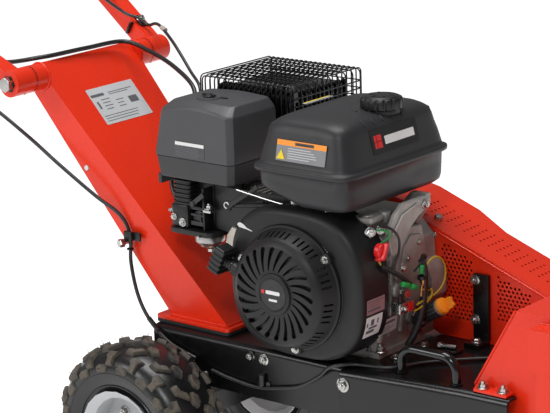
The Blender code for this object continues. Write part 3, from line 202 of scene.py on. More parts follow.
# ---------------------------------------------------------------- mesh helpers
def add(name, bm, body, skin, smooth=35.0, bevel=0.0, stands_for=(), more=()):
    """Make a piece from a bmesh in station millimetres and let it ride on a body."""
    bmesh.ops.recalc_face_normals(bm, faces=bm.faces)
    for vertex in bm.verts:
        vertex.co = (vertex.co + SHIFT) * MM
    mesh = bpy.data.meshes.new(name)
    bm.to_mesh(mesh)
    bm.free()
    for used in (skin, *more):
        mesh.materials.append(used)
    mesh.shade_smooth()
    mesh.set_sharp_from_angle(angle=math.radians(smooth))
    made = bpy.data.objects.new(name, mesh)
    bpy.context.scene.collection.objects.link(made)
    if bevel:
        round_edges(made, bevel)
    if body:
        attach(made, body)
    if stands_for:
        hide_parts(*stands_for)
    return made


def round_edges(obj, width, angle=32.0, segments=2):
    """Round an object's sharp edges by a width in millimetres."""
    bevel = obj.modifiers.new("round_edges", "BEVEL")
    bevel.width = width * MM
    bevel.segments = segments
    bevel.limit_method = "ANGLE"
    bevel.angle_limit = math.radians(angle)
    bevel.use_clamp_overlap = True
    weighted = obj.modifiers.new("even_shading", "WEIGHTED_NORMAL")
    weighted.keep_sharp = False
    weighted.weight = 60


def dress(name, skin, bevel=0.8, angle=32.0):
    """Keep a CAD node, with its seams closed, its edges rounded and a better material."""
    node = nodes[name]
    for material_slot in node.material_slots:
        material_slot.material = skin
    weld = node.modifiers.new("close_seams", "WELD")
    weld.merge_threshold = 0.02 * MM
    if bevel:
        round_edges(node, bevel, angle)


def skinned(rings, closed_loop=False, caps=True):
    """Skin a row of equal-length rings."""
    bm = bmesh.new()
    rows = [[bm.verts.new(point) for point in ring] for ring in rings]
    count = len(rings[0])
    last = len(rows) if closed_loop else len(rows) - 1
    for index in range(last):
        low, high = rows[index], rows[(index + 1) % len(rows)]
        for side in range(count):
            after = (side + 1) % count
            bm.faces.new((low[side], low[after], high[after], high[side]))
    if caps and not closed_loop:
        bm.faces.new(rows[0])
        bm.faces.new(rows[-1])
    return bm


def join(*parts):
    """Put several bmeshes into one."""
    whole = bmesh.new()
    for part in parts:
        mesh = bpy.data.meshes.new("joining")
        part.to_mesh(mesh)
        part.free()
        whole.from_mesh(mesh)
        bpy.data.meshes.remove(mesh)
    return whole


def paint(bm, index):
    """Give every face of a bmesh one of the piece's materials."""
    for face in bm.faces:
        face.material_index = index
    return bm


def block(low, high, round_by=0.0, segments=2):
    """A box between two corners, with its edges rounded."""
    bm = bmesh.new()
    bmesh.ops.create_cube(bm, size=1.0)
    low, high = Vector(low), Vector(high)
    for vertex in bm.verts:
        vertex.co = (low + high) / 2.0 + Vector(a * b for a, b in zip(vertex.co, high - low))
    if round_by:
        bmesh.ops.bevel(bm, geom=list(bm.edges), offset=round_by, segments=segments, profile=0.5,
                        affect="EDGES")
    return bm


def turned_block(centre, size, turn, round_by=0.0):
    """A rounded box of a size about a centre, turned by a rotation matrix."""
    half = Vector(size) / 2.0
    bm = block(-half, half, round_by)
    bmesh.ops.transform(bm, matrix=Matrix.Translation(Vector(centre)) @ turn.to_4x4(),
                        verts=bm.verts)
    return bm


def aim(direction, side=UP):
    """Rotation that turns Z to a direction."""
    along = Vector(direction).normalized()
    across = Vector(side).cross(along)
    if across.length < 0.01:
        across = X_AXIS.cross(along)
    across.normalize()
    return Matrix((across, along.cross(across), along)).transposed()


def lathe(profile, centre, direction, segments=48, swell=None):
    """Turn (radius, height) points about a direction through a centre.

    swell(angle, radius, height) may change a radius, for scallops and flutes.
    """
    turn = aim(direction)
    centre = Vector(centre)
    bm = bmesh.new()
    rows = []
    for radius, along in profile:
        if radius < 1e-6:
            rows.append([bm.verts.new(centre + turn @ Vector((0.0, 0.0, along)))])
            continue
        row = []
        for step in range(segments):
            angle = 2.0 * math.pi * step / segments
            wide = swell(angle, radius, along) if swell else radius
            row.append(bm.verts.new(centre + turn @ Vector((wide * math.cos(angle),
                                                            wide * math.sin(angle), along))))
        rows.append(row)
    solid = len(rows[0]) == 1 or len(rows[-1]) == 1
    pairs = list(zip(rows[:-1], rows[1:]))
    if not solid:
        pairs.append((rows[-1], rows[0]))
    for low, high in pairs:
        for step in range(segments):
            after = (step + 1) % segments
            if len(low) == 1:
                bm.faces.new((low[0], high[after], high[step]))
            elif len(high) == 1:
                bm.faces.new((low[step], low[after], high[0]))
            else:
                bm.faces.new((low[step], low[after], high[after], high[step]))
    return bm


def rod(start, end, radius, segments=20, end_radius=None):
    """A round bar between two points, with a small chamfer at each end."""
    start, end = Vector(start), Vector(end)
    length = (end - start).length
    last = radius if end_radius is None else end_radius
    chamfer = min(0.12 * radius, 0.25 * length)
    profile = [(0.0, 0.0), (radius - chamfer, 0.0), (radius, chamfer), (last, length - chamfer),
               (last - chamfer, length), (0.0, length)]
    return lathe(profile, start, end - start, segments)


def smooth_route(points, spacing=8.0):
    """Points about spacing apart on a Catmull-Rom curve through the route's points."""
    knots = [Vector(point) for point in points]
    padded = [knots[0] * 2 - knots[1]] + knots + [knots[-1] * 2 - knots[-2]]
    route = [knots[0]]
    for index in range(1, len(padded) - 2):
        before, start, end, after = padded[index - 1:index + 3]
        steps = max(1, round((end - start).length / spacing))
        for step in range(1, steps + 1):
            t = step / steps
            route.append(0.5 * ((2 * start) + (end - before) * t
                                + (2 * before - 5 * start + 4 * end - after) * t * t
                                + (3 * start - before - 3 * end + after) * t ** 3))
    return route


def tube(route, radius, segments=10, closed=False, swell=None):
    """A round tube along a route, kept from twisting."""
    route = [Vector(place) for place in route]
    count = len(route)
    rings = []
    side = None
    for index, place in enumerate(route):
        if closed:
            along = (route[(index + 1) % count] - route[index - 1]).normalized()
        else:
            along = (route[min(index + 1, count - 1)] - route[max(index - 1, 0)]).normalized()
        if side is None:
            side = along.orthogonal().normalized()
        side = (side - along * side.dot(along)).normalized()
        up = along.cross(side)
        wide = radius * (swell(index) if swell else 1.0)
        rings.append([place + (side * math.cos(2.0 * math.pi * step / segments)
                               + up * math.sin(2.0 * math.pi * step / segments)) * wide
                      for step in range(segments)])
    return skinned(rings, closed_loop=closed)


def wire(points, radius, spacing=6.0, segments=8):
    return tube(smooth_route(points, spacing), radius, segments)


def superellipse(half_a, half_b, power, centre, count):
    points = []
    for step in range(count):
        angle = 2.0 * math.pi * step / count
        reach = ((abs(math.cos(angle)) / half_a) ** power
                 + (abs(math.sin(angle)) / half_b) ** power) ** (-1.0 / power)
        points.append((centre[0] + reach * math.cos(angle), centre[1] + reach * math.sin(angle)))
    return points


def arc(centre, radius, start_deg, end_deg, steps):
    points = []
    for step in range(steps + 1):
        angle = math.radians(start_deg + (end_deg - start_deg) * step / steps)
        points.append((centre[0] + radius * math.cos(angle), centre[1] + radius * math.sin(angle)))
    return points


def rounded_rectangle(low, high, radius, steps=6):
    (x_low, y_low), (x_high, y_high) = low, high
    corners = [((x_high - radius, y_low + radius), -90.0), ((x_high - radius, y_high - radius), 0.0),
               ((x_low + radius, y_high - radius), 90.0), ((x_low + radius, y_low + radius), 180.0)]
    outline = []
    for centre, start in corners:
        outline += arc(centre, radius, start, start + 90.0, steps)
    return outline


def prism(outline, origin, right, up, depth, bevel=0.0):
    """Extrude an outline drawn in a plane's (right, up) by a depth along right x up."""
    origin, right, up = Vector(origin), Vector(right).normalized(), Vector(up).normalized()
    out = right.cross(up)
    rings = [[origin + right * a + up * b + out * level for a, b in outline]
             for level in (0.0, depth)]
    bm = skinned(rings)
    if bevel:
        top = [e for e in bm.edges if all(abs((v.co - origin).dot(out) - depth) < 1e-4
                                          for v in e.verts)]
        bmesh.ops.bevel(bm, geom=top, offset=bevel, segments=2, profile=0.5, affect="EDGES")
    return bm


def carve(obj, cutter):
    """Cut a bmesh in station millimetres out of an object made by add()."""
    tool = add(obj.name + "_cutter", cutter, None, INK)
    boolean = obj.modifiers.new("carve", "BOOLEAN")
    boolean.operation = "DIFFERENCE"
    boolean.solver = "EXACT"
    boolean.object = tool
    for modifier in obj.modifiers:
        if modifier.name != "carve":
            modifier.show_viewport = False
    graph = bpy.context.evaluated_depsgraph_get()
    carved = bpy.data.meshes.new_from_object(obj.evaluated_get(graph))
    obj.modifiers.remove(boolean)
    for modifier in obj.modifiers:
        modifier.show_viewport = True
    obj.data = carved
    bpy.data.objects.remove(tool)
    carved.shade_smooth()
    carved.set_sharp_from_angle(angle=math.radians(35.0))


def copy_of(name, body, skin, bevel=0.8):
    """A new piece with a CAD node's shape, to be cut into; it stands for the node."""
    bm = bmesh.new()
    bm.from_mesh(nodes[name].data)
    bmesh.ops.remove_doubles(bm, verts=bm.verts, dist=0.02 * MM)
    bmesh.ops.dissolve_limit(bm, angle_limit=math.radians(0.6), verts=bm.verts, edges=bm.edges)
    for vertex in bm.verts:
        vertex.co = vertex.co / MM - SHIFT
    return add(name + "_shaped", bm, body, skin, bevel=bevel, stands_for=(name,))


def hex_bolt(at, direction, across=13.0, thick=5.0, washer=True, stud=0.0):
    """A bolt head standing on a surface at a point, with its washer and a stud's end."""
    at, out = Vector(at), Vector(direction).normalized()
    parts = []
    base = 0.0
    if washer:
        base = 1.6
        parts.append(lathe([(0.0, 0.0), (across * 0.78, 0.0), (across * 0.80, 0.5),
                            (across * 0.80, 1.3), (across * 0.76, base), (0.0, base)], at, out, 24))
    corner = across / math.sqrt(3.0)
    head = lathe([(0.0, base - 0.5), (corner, base - 0.5), (corner, base + thick * 0.85),
                  (corner * 0.86, base + thick), (0.0, base + thick)], at, out, 6)
    parts.append(head)
    dome = lathe([(0.0, base), (corner * 0.62, base + thick), (corner * 0.55, base + thick + 0.7),
                  (0.0, base + thick + 0.9)], at, out, 16)
    parts.append(dome)
    if stud:
        parts.append(rod(at, at + out * (base + thick + stud), across * 0.27, 14))
    return join(*parts)


def flat_label(name, body, corner, right, up, size, skin, marks=(), thick=0.25, round_by=2.0):
    """A thin label with plain bars and blocks on it.

    corner is its lower left, marks are (left, low, wide, high, material).
    """
    corner, right, up = Vector(corner), Vector(right).normalized(), Vector(up).normalized()
    out = right.cross(up)
    skins = [skin]
    parts = [prism(rounded_rectangle((0.0, 0.0), size, round_by, 4), corner, right, up, thick)]
    for left, low, wide, high, mark in marks:
        if mark not in skins:
            skins.append(mark)
        bar = prism([(left, low), (left + wide, low), (left + wide, low + high), (left, low + high)],
                    corner + out * (thick - 0.05), right, up, 0.12)
        parts.append(paint(bar, skins.index(mark)))
    return add(name, join(*parts), body, skin, more=skins[1:])


def text_lines(left, low, wide, rows, pitch, skin, high=1.0, seed=1):
    """Rows of plain bars of uneven length, where a printed block would be."""
    chance = random.Random(seed)
    return [(left, low + row * pitch, wide * chance.uniform(0.6, 1.0), high, skin)
            for row in range(rows)]


# ---------------------------------------------------------------- camera, light and floor
def stage_and_camera():
    """Pale floor, soft light from above and the sides, and the camera."""
    floor = bpy.data.meshes.new("floor")
    reach = 30.0
    floor.from_pydata([(-reach, -reach, 0.0), (reach, -reach, 0.0), (reach, reach, 0.0),
                       (-reach, reach, 0.0)], [], [(0, 1, 2, 3)])
    ground = bpy.data.objects.new("floor", floor)
    bpy.context.scene.collection.objects.link(ground)
    pale = finish("pale_floor", "bright_steel", (0.42, 0.42, 0.42), 0.85, swing=0.01, patch=1.0)
    glow = pale.node_tree.nodes["Principled BSDF"]
    glow.inputs["Emission Color"].default_value = (1.0, 1.0, 1.0, 1.0)
    glow.inputs["Emission Strength"].default_value = 0.88
    floor.materials.append(pale)

    world = bpy.data.worlds.new("studio")
    bpy.context.scene.world = world
    world.use_nodes = True
    world.node_tree.nodes["Background"].inputs["Color"].default_value = (1.0, 1.0, 1.0, 1.0)
    world.node_tree.nodes["Background"].inputs["Strength"].default_value = WORLD_LIGHT

    for name, place, size, power in LIGHTS:
        lamp = bpy.data.lights.new(name, "AREA")
        lamp.shape = "RECTANGLE"
        lamp.size, lamp.size_y = size
        lamp.energy = power
        made = bpy.data.objects.new(name, lamp)
        made.location = place
        made.rotation_euler = (Vector((0.0, 0.0, 0.45)) - Vector(place)).to_track_quat(
            "-Z", "Y").to_euler()
        bpy.context.scene.collection.objects.link(made)

    lens = bpy.data.cameras.new("camera")
    lens.lens = 147.3
    lens.sensor_width = 36.0
    turn, lift, roll = (math.radians(angle) for angle in (39.8, 14.9, -1.9))
    level = Vector((math.cos(turn), math.sin(turn), 0.0))
    back = Vector((math.sin(turn) * math.cos(lift), -math.cos(turn) * math.cos(lift),
                   math.sin(lift)))
    upright = back.cross(level)
    across = level * math.cos(roll) + upright * math.sin(roll)
    upward = upright * math.cos(roll) - level * math.sin(roll)
    camera = bpy.data.objects.new("camera", lens)
    camera.matrix_world = (Matrix.Translation((2.5253, -2.9409, 1.5709))
                           @ Matrix((across, upward, back)).transposed().to_4x4())
    bpy.context.scene.collection.objects.link(camera)
    bpy.context.scene.camera = camera
    view = bpy.context.scene.view_settings
    view.view_transform = "Standard"
    view.look = "None"
    view.exposure = EXPOSURE


# ---------------------------------------------------------------- wheels
def tread_point(along, across, height, middle):
    """Point over the tyre's skin: along its rim, across its width from the crown, and above it.

    The skin is a superellipse in section; across is measured roughly along it.
    """
    half_wide, half_tall, power = 65.0, 40.0, 2.5
    crown = 158.0
    sweep = math.copysign(min(abs(across) / 92.0, 1.0) * 0.5 * math.pi, across)
    cosine, sine = math.cos(sweep), math.sin(sweep)
    reach = (abs(sine / half_wide) ** power + abs(cosine / half_tall) ** power) ** (-1.0 / power)
    wide, tall = reach * sine, reach * cosine
    normal = Vector((math.copysign(abs(wide / half_wide) ** (power - 1.0) / half_wide, wide),
                     max(tall / half_tall, 0.0) ** (power - 1.0) / half_tall)).normalized()
    wide += normal.x * height
    tall += normal.y * height
    radius = crown - half_tall + tall
    angle = along / crown
    return Vector((AXLE[0] + radius * math.cos(angle), middle + wide,
                   AXLE[1] + radius * math.sin(angle)))


def lug(outline, at, flip, middle, height=7.5, inset=0.82):
    """One rubber block: a base outline on the skin, drawn in towards its raised top."""
    along, across = at
    rings = []
    for share, level in ((1.12, -1.5), (0.97, height * 0.55), (inset + 0.06, height - 0.8),
                         (inset - 0.02, height)):
        rings.append([tread_point(along + flip * a * share, across + flip * b * share, level, middle)
                      for a, b in outline])
    bm = skinned(rings)
    return bm


def tyre(side, name):
    """Carcass with a rounded section, block tread and a few moulding hairs."""
    middle = side * TRACK
    section = []
    for step in range(41):
        point = tread_point(0.0, -92.0 + 184.0 * step / 40.0, 0.0, middle)
        section.append((point.x - AXLE[0], point.y))
    foot = [(100.0, 60.5), (88.0, 54.5), (79.0, 52.0), (79.0, 45.0), (100.0, 48.0)]
    closed = ([(r, middle - w) for r, w in reversed(foot)] + section
              + [(r, middle + w) for r, w in foot])
    closed += [(148.0, middle + 40.0), (148.0, middle - 40.0)]
    carcass = lathe(closed, (AXLE[0], 0.0, AXLE[1]), Y_AXIS, 112)
    add("tyre_skin_" + name, carcass, "wheel_" + name, TYRE, smooth=50.0,
        stands_for=("tyre_" + name,))

    hexagon = [(14.5, 0.0), (7.0, 10.5), (-7.0, 10.5), (-14.5, 0.0), (-7.0, -10.5), (7.0, -10.5)]
    chevron = [(-17.0, -11.0), (-5.5, -12.5), (5.0, 0.0), (17.5, 1.5), (16.5, 11.0), (0.0, 10.0)]
    shoulder = [(-12.0, -12.0), (10.5, -12.0), (14.0, -3.0), (7.0, 3.0), (8.0, 12.0), (-9.0, 12.0),
                (-6.5, 0.0)]
    flank = [(-16.0, -6.5), (4.0, -7.0), (15.0, -3.5), (13.0, 6.0), (-14.0, 6.0)]
    count = 17
    pitch = 2.0 * math.pi * 158.0 / count
    blocks = []
    hairs = []
    chance = random.Random(7 if side < 0 else 8)
    for index in range(count):
        start = index * pitch
        for flip, offset in ((1.0, 0.0), (-1.0, pitch / 2.0)):
            places = [(hexagon, (start + offset, flip * 14.0), 8.0),
                      (chevron, (start + offset + 20.0, flip * 40.0), 7.8),
                      (shoulder, (start + offset + 1.0, flip * 65.0), 7.0),
                      (flank, (start + offset + 26.0, flip * 82.0), 4.0)]
            for outline, at, height in places:
                mirrored = [(a, b * flip) for a, b in outline]
                blocks.append(lug(mirrored, at, 1.0, middle, height))
                angle = math.degrees(at[0] / 158.0) % 360.0
                clear = flip * side > 0.0 or abs(at[1]) < 60.0
                if clear and 10.0 < angle < 200.0 and chance.random() < 0.55:
                    lean = Vector((chance.uniform(-2.5, 2.5), chance.uniform(-2.5, 2.5), 0.0))
                    foot_at = tread_point(at[0] + 3.0, at[1], height - 0.5, middle)
                    tip = tread_point(at[0] + 3.0, at[1], height + chance.uniform(4.0, 7.5), middle)
                    hairs.append(rod(foot_at, tip + lean, 0.6, 5, 0.35))
    add("tyre_lugs_" + name, join(*blocks), "wheel_" + name, LUG, smooth=40.0)
    add("tyre_hairs_" + name, join(*hairs), "wheel_" + name, TYRE)
    body = "wheel_" + name
    ring = []
    for radius in (119.0, 96.0):
        level = 64.3 if radius > 100.0 else 59.6
        for face in (-1.0, 1.0):
            route = [(AXLE[0] + radius * math.cos(math.radians(3.0 * k)), middle + face * level,
                      AXLE[1] + radius * math.sin(math.radians(3.0 * k))) for k in range(120)]
            ring.append(tube(route, 1.5, 6, closed=True))
    add("tyre_mould_lines_" + name, join(*ring), body, TYRE)

    dress("rim_" + name, SILVER, 0.8)
    out = Y_AXIS * side
    parts = []
    for index in range(4):
        angle = math.radians(45.0 + 90.0 * index)
        at = (AXLE[0] + 42.0 * math.cos(angle), middle + side * 12.0,
              AXLE[1] + 42.0 * math.sin(angle))
        parts.append(hex_bolt(at, out, 14.0, 7.0, stud=4.0))
    parts.append(lathe([(0.0, 0.0), (19.0, 0.0), (19.0, 3.0), (15.0, 6.5), (0.0, 8.0)],
                       (AXLE[0], middle + side * 56.4, AXLE[1]), out, 32))
    add("wheel_fittings_" + name, join(*parts), body, ZINC)
    valve_at = Vector((AXLE[0] + 60.0, middle + side * 14.0, AXLE[1] + 22.0))
    add("valve_" + name, rod(valve_at, valve_at + out * 26.0, 3.6, 14, 2.8), body, RUBBER)


# ---------------------------------------------------------------- chassis and column
def chassis():
    for name in ("rear_chassis", "front_chassis"):
        dress(name, SATIN, 1.2)
    for name in ("axle", "parking_stand", "guard_bracket", "spindle_bearing_left",
                 "spindle_bearing_right"):
        dress(name, SATIN, 1.0)
    dress("brake_arm", ZINC, 0.8)
    dress("column_gasket", RUBBER, 0.5)
    dress("debris_curtain", RUBBER, 0.6)

    low, high, foot, radius, bend = 519.0, 630.0, 337.35, 8.0, 26.0
    top = 381.0
    route = [(low, foot)] + arc((low + bend, top - bend), bend, 180.0, 90.0, 12)
    route += arc((high - bend, top - bend), bend, 90.0, 0.0, 12) + [(high, foot)]
    loop = tube([(x, -92.0, z) for x, z in route], radius, 28)
    add("lift_loop_bar", loop, "chassis", GLOSS_BLACK, stands_for=("lift_loop",))
    rings = [tube([(x + 9.0 * math.cos(a), -92.0 + 9.0 * math.sin(a), foot + 1.2)
                   for a in (math.radians(15.0 * k) for k in range(24))], 1.8, 8, closed=True,
                  swell=lambda k: 1.0 + 0.18 * (k % 2))
             for x in (low, high)]
    add("lift_loop_welds", join(*rings), "chassis", GLOSS_BLACK)

    side_bolts = [((214.0, -119.0, 315.0), 11.0), ((244.0, -119.0, 314.0), 13.0),
                  ((432.0, -139.0, 311.0), 16.0)]
    parts = [hex_bolt(at, -Y_AXIS, across, 5.0, stud=3.0) for at, across in side_bolts]
    parts += [hex_bolt((x, -40.0 * side, 337.6), UP, 13.0, 5.0) for x in (470.0, 655.0)
              for side in (-1.0, 1.0)]
    add("chassis_bolts", join(*parts), "chassis", ZINC)
    clip = join(block((206.0, -121.5, 306.0), (222.0, -119.2, 326.0), 0.8),
                rod((242.0, -124.5, 268.0), (242.0, -124.5, 289.0), 6.5, 20),
                block((226.0, -122.0, 262.0), (258.0, -119.2, 276.0), 0.8))
    add("chassis_side_clip", clip, "chassis", GLOSS_BLACK)
    lying = join(lathe([(0.0, 0.0), (7.5, 0.0), (7.5, 6.0), (0.0, 6.5)], (505.0, 36.0, 345.5),
                       (1.0, 0.25, 0.0), 6),
                 rod((505.0, 36.0, 345.5), (536.0, 43.7, 345.5), 4.2, 18))
    add("deck_tie_bolt", lying, "chassis", ZINC)
    seat = block((500.0, 28.0, 337.5), (545.0, 52.0, 341.3), 1.0)
    add("deck_tie_plate", seat, "chassis", SATIN)


def column_edge(z, side, front=True):
    """Point on the column's near or far edge at a height."""
    half = 89.3 + (124.5 - 89.3) * (z - 348.0) / 413.0
    x = 137.7 - (z - 346.35) / 1.0807 if front else 4.5 - (z - 346.35) * 304.5 / 410.65
    return Vector((x, side * half, z))


def weld(start, end, radius, ripple=3.2):
    """A weld bead with its ripples."""
    start, end = Vector(start), Vector(end)
    steps = max(4, int((end - start).length / (ripple / 2.0)))
    route = [start.lerp(end, step / steps) for step in range(steps + 1)]
    return tube(route, radius, 8, swell=lambda k: 1.0 + 0.16 * (k % 2) + 0.06 * math.sin(k * 1.7))


def column():
    dress("column_base_plate", RED, 1.0)
    shaped = copy_of("steering_column", "chassis", RED, bevel=2.6)
    hole = Vector((-167.7, -110.8, 600.0))
    carve(shaped, rod(hole - Y_AXIS * 14.0, hole + Y_AXIS * 14.0, 5.5, 20))
    add("column_hole_plug", lathe([(0.0, -2.0), (4.9, -2.0), (4.9, 1.4), (3.6, 2.0), (0.0, 2.2)],
                                  hole, -Y_AXIS, 24), "chassis", WHITE)

    foot = 346.9
    corners = [column_edge(foot, side, front) + Vector((0.0, side * 0.6, 0.0))
               for side, front in ((RIGHT, False), (RIGHT, True), (LEFT, True), (LEFT, False))]
    beads = [weld(corners[k], corners[(k + 1) % 4], 2.4) for k in range(4)]
    for side in (RIGHT, LEFT):
        beads.append(tube([(PIVOT[0] + 25.0 * math.cos(a), side * 124.6,
                            PIVOT[1] + 25.0 * math.sin(a))
                           for a in (math.radians(6.0 * k) for k in range(60))], 2.0, 8, closed=True,
                          swell=lambda k: 1.0 + 0.2 * (k % 2)))
    add("column_welds", join(*beads), "chassis", RED, smooth=60.0)

    down = Vector((1.0, 0.0, -1.0807)).normalized()
    out = Vector((1.0807, 0.0, 1.0)).normalized()
    corner = Vector((-161.3, -57.0, 669.5)) + out * 0.1
    bars = [(3.0, 60.0, 34.0, 6.0, INK), (48.0, 63.0, 62.0, 1.6, INK), (48.0, 59.0, 50.0, 1.6, INK),
            (8.0, 34.0, 5.0, 16.0, INK), (88.0, 32.0, 22.0, 14.0, INK)]
    bars += text_lines(22.0, 30.0, 26.0, 4, 7.0, INK, 1.8, 3)
    bars += text_lines(56.0, 30.0, 26.0, 3, 7.0, INK, 1.8, 4)
    bars += text_lines(6.0, 6.0, 96.0, 3, 5.5, INK, 1.5, 5)
    flat_label("column_plate", "chassis", corner, Y_AXIS, -down, (122.0, 79.0), SILVER, bars, 0.6)

    for side in (RIGHT, LEFT):
        teeth = 30
        rows = [[], []]
        for step in range(teeth * 2):
            angle = math.pi * step / teeth
            shift = 2.6 if step % 2 else -2.6
            for row, wide in zip(rows, (-0.7, 0.7)):
                row.append((PIVOT[0] + 24.75 * math.cos(angle), side * (154.8 + shift) + wide,
                            PIVOT[1] + 24.75 * math.sin(angle)))
        band = skinned(rows, caps=False)
        add(f"toothed_joint_{'right' if side < 0 else 'left'}", band, "chassis", GLOSS_BLACK)

    clip_at = Vector((-71.0, -112.5, 487.4))
    strap = join(block(clip_at + Vector((-7.0, -6.0, -9.0)), clip_at + Vector((12.0, 2.0, 9.0)), 2.0),
                 block(clip_at + Vector((10.0, 1.0, -8.0)), clip_at + Vector((27.0, 5.0, 8.0)), 1.0))
    add("cable_clip", strap, "chassis", MOULD)
    bolt_at = clip_at + Vector((-5.0, -8.0, -12.0))
    add("cable_clip_bolt", join(lathe([(0.0, 0.0), (8.0, 0.0), (8.0, 9.0), (6.8, 10.4), (0.0, 10.4)],
                                      bolt_at, (-0.2, -1.0, 0.0), 6),
                                rod(bolt_at, bolt_at + Vector((2.0, 12.0, 0.0)), 4.0, 14)),
        "chassis", ZINC)
    add("cable_tie", tube([(-70.5 + 5.4 * math.cos(a), -109.5 + 5.4 * math.sin(a), 462.0)
                           for a in (math.radians(30.0 * k) for k in range(12))], 1.4, 6, closed=True),
        "chassis", MOULD)


# ---------------------------------------------------------------- handlebar and cables
ARM_RISE, ARM_SPREAD = math.radians(31.0), math.radians(11.0)


def along_arm(side, distance, out=0.0, lift=0.0):
    """Point at a distance up an arm from the pivot, moved outwards and above its middle."""
    cosine, sine = math.cos(ARM_RISE), math.sin(ARM_RISE)
    run = distance * math.cos(ARM_SPREAD) - out * math.sin(ARM_SPREAD)
    spread = distance * math.sin(ARM_SPREAD) + out * math.cos(ARM_SPREAD)
    return Vector((PIVOT[0] - run * cosine + lift * sine, side * (184.0 + spread),
                   PIVOT[1] + run * sine + lift * cosine))


def crossing_cable(name, upper, lower, radius):
    """A cable from the handlebar to the machine, bending where it crosses the pivot."""
    route = smooth_route(upper + lower[1:], 6.0)
    piece = add(name, tube(route, radius, 12), None, SHEATH, smooth=60.0)
    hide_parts(name + "_upper", name + "_lower")
    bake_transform(piece)
    return piece


def cables():
    joint = along_arm(RIGHT, 150.0, -23.0, -20.0)
    crossing_cable("brake_cable",
                   [(-648.0, -262.0, 971.0), along_arm(RIGHT, 400.0, 0.0, -26.0),
                    along_arm(RIGHT, 330.0, -6.0, -28.0), along_arm(RIGHT, 230.0, -23.0, -18.0),
                    joint],
                   [joint, (-396.0, -192.0, 770.0), (-380.0, -188.0, 722.0),
                    (-352.0, -160.0, 700.0), (-275.0, -145.0, 649.0), (-207.0, -140.0, 606.0),
                    (-134.0, -128.0, 557.0), (-89.5, -112.0, 523.0), (-71.0, -108.0, 487.0),
                    (-70.0, -110.0, 437.0), (-49.0, -118.0, 381.0), (-17.0, -124.0, 341.0),
                    (30.0, -126.0, 308.0), (84.0, -124.5, 290.0)], 3.5)
    joint = along_arm(LEFT, 40.0, 0.0, 26.0)
    crossing_cable("throttle_cable",
                   [(-553.0, 226.0, 944.0), along_arm(LEFT, 332.0, -24.0, 20.0),
                    along_arm(LEFT, 290.0, -23.0, 6.0), along_arm(LEFT, 180.0, -23.0, 2.0),
                    along_arm(LEFT, 90.0, -24.0, 20.0), along_arm(LEFT, 62.0, -10.0, 27.0), joint],
                   [joint, (-250.0, 180.0, 811.0), (-211.0, 155.0, 810.0), (-142.0, 112.0, 792.0),
                    (-78.0, 80.0, 756.0), (-28.0, 50.0, 730.0), (-26.0, 30.0, 680.0),
                    (-24.0, -6.0, 630.0), (-12.0, -40.0, 580.0), (24.0, -62.0, 545.0)], 3.0)
    joint = along_arm(RIGHT, 110.0, -24.0, 6.0)
    crossing_cable("stop_wire",
                   [(-528.0, -132.0, 941.6), (-516.0, -180.0, 930.0),
                    along_arm(RIGHT, 300.0, -24.0, 4.0), along_arm(RIGHT, 200.0, -24.0, 6.0), joint],
                   [joint, (-337.0, -150.0, 786.0), (-275.0, -100.0, 792.0), (-262.0, 0.0, 793.0),
                    (-246.0, 84.0, 793.0), (-188.0, 90.0, 780.0), (-95.0, 60.0, 762.0),
                    (-20.0, 25.0, 735.0), (-12.0, 0.0, 690.0), (-8.0, -34.0, 640.0),
                    (4.0, -72.0, 592.0), (24.0, -84.0, 562.0)], 4.2)
    deck = [(128.0, -124.0, 274.0), (169.0, -124.0, 267.0), (230.0, -124.0, 262.5),
            (282.0, -124.0, 271.0), (327.0, -124.0, 283.6), (371.0, -126.0, 310.4),
            (400.0, -138.0, 334.0), (424.0, -138.0, 344.0), (444.5, -117.0, 343.0),
            (500.0, -97.0, 342.0), (526.0, -49.0, 341.5), (565.0, -3.0, 341.5),
            (608.0, 38.0, 341.5)]
    add("deck_cable_sheath", wire(deck, 3.2, 7.0, 12), "chassis", SHEATH, smooth=60.0,
        stands_for=("deck_cable",))
    ferrule = join(rod((-20.0, -123.6, 344.0), (6.0, -126.0, 324.0), 4.6, 20),
                   rod((72.0, -125.0, 293.0), (92.0, -124.5, 288.0), 5.0, 18))
    add("brake_cable_ferrule", ferrule, "chassis", GLOSS_BLACK)
    add("throttle_cable_ferrule", rod((-214.0, 157.5, 810.4), (-196.0, 147.6, 808.4), 4.6, 20),
        "chassis", BEIGE)


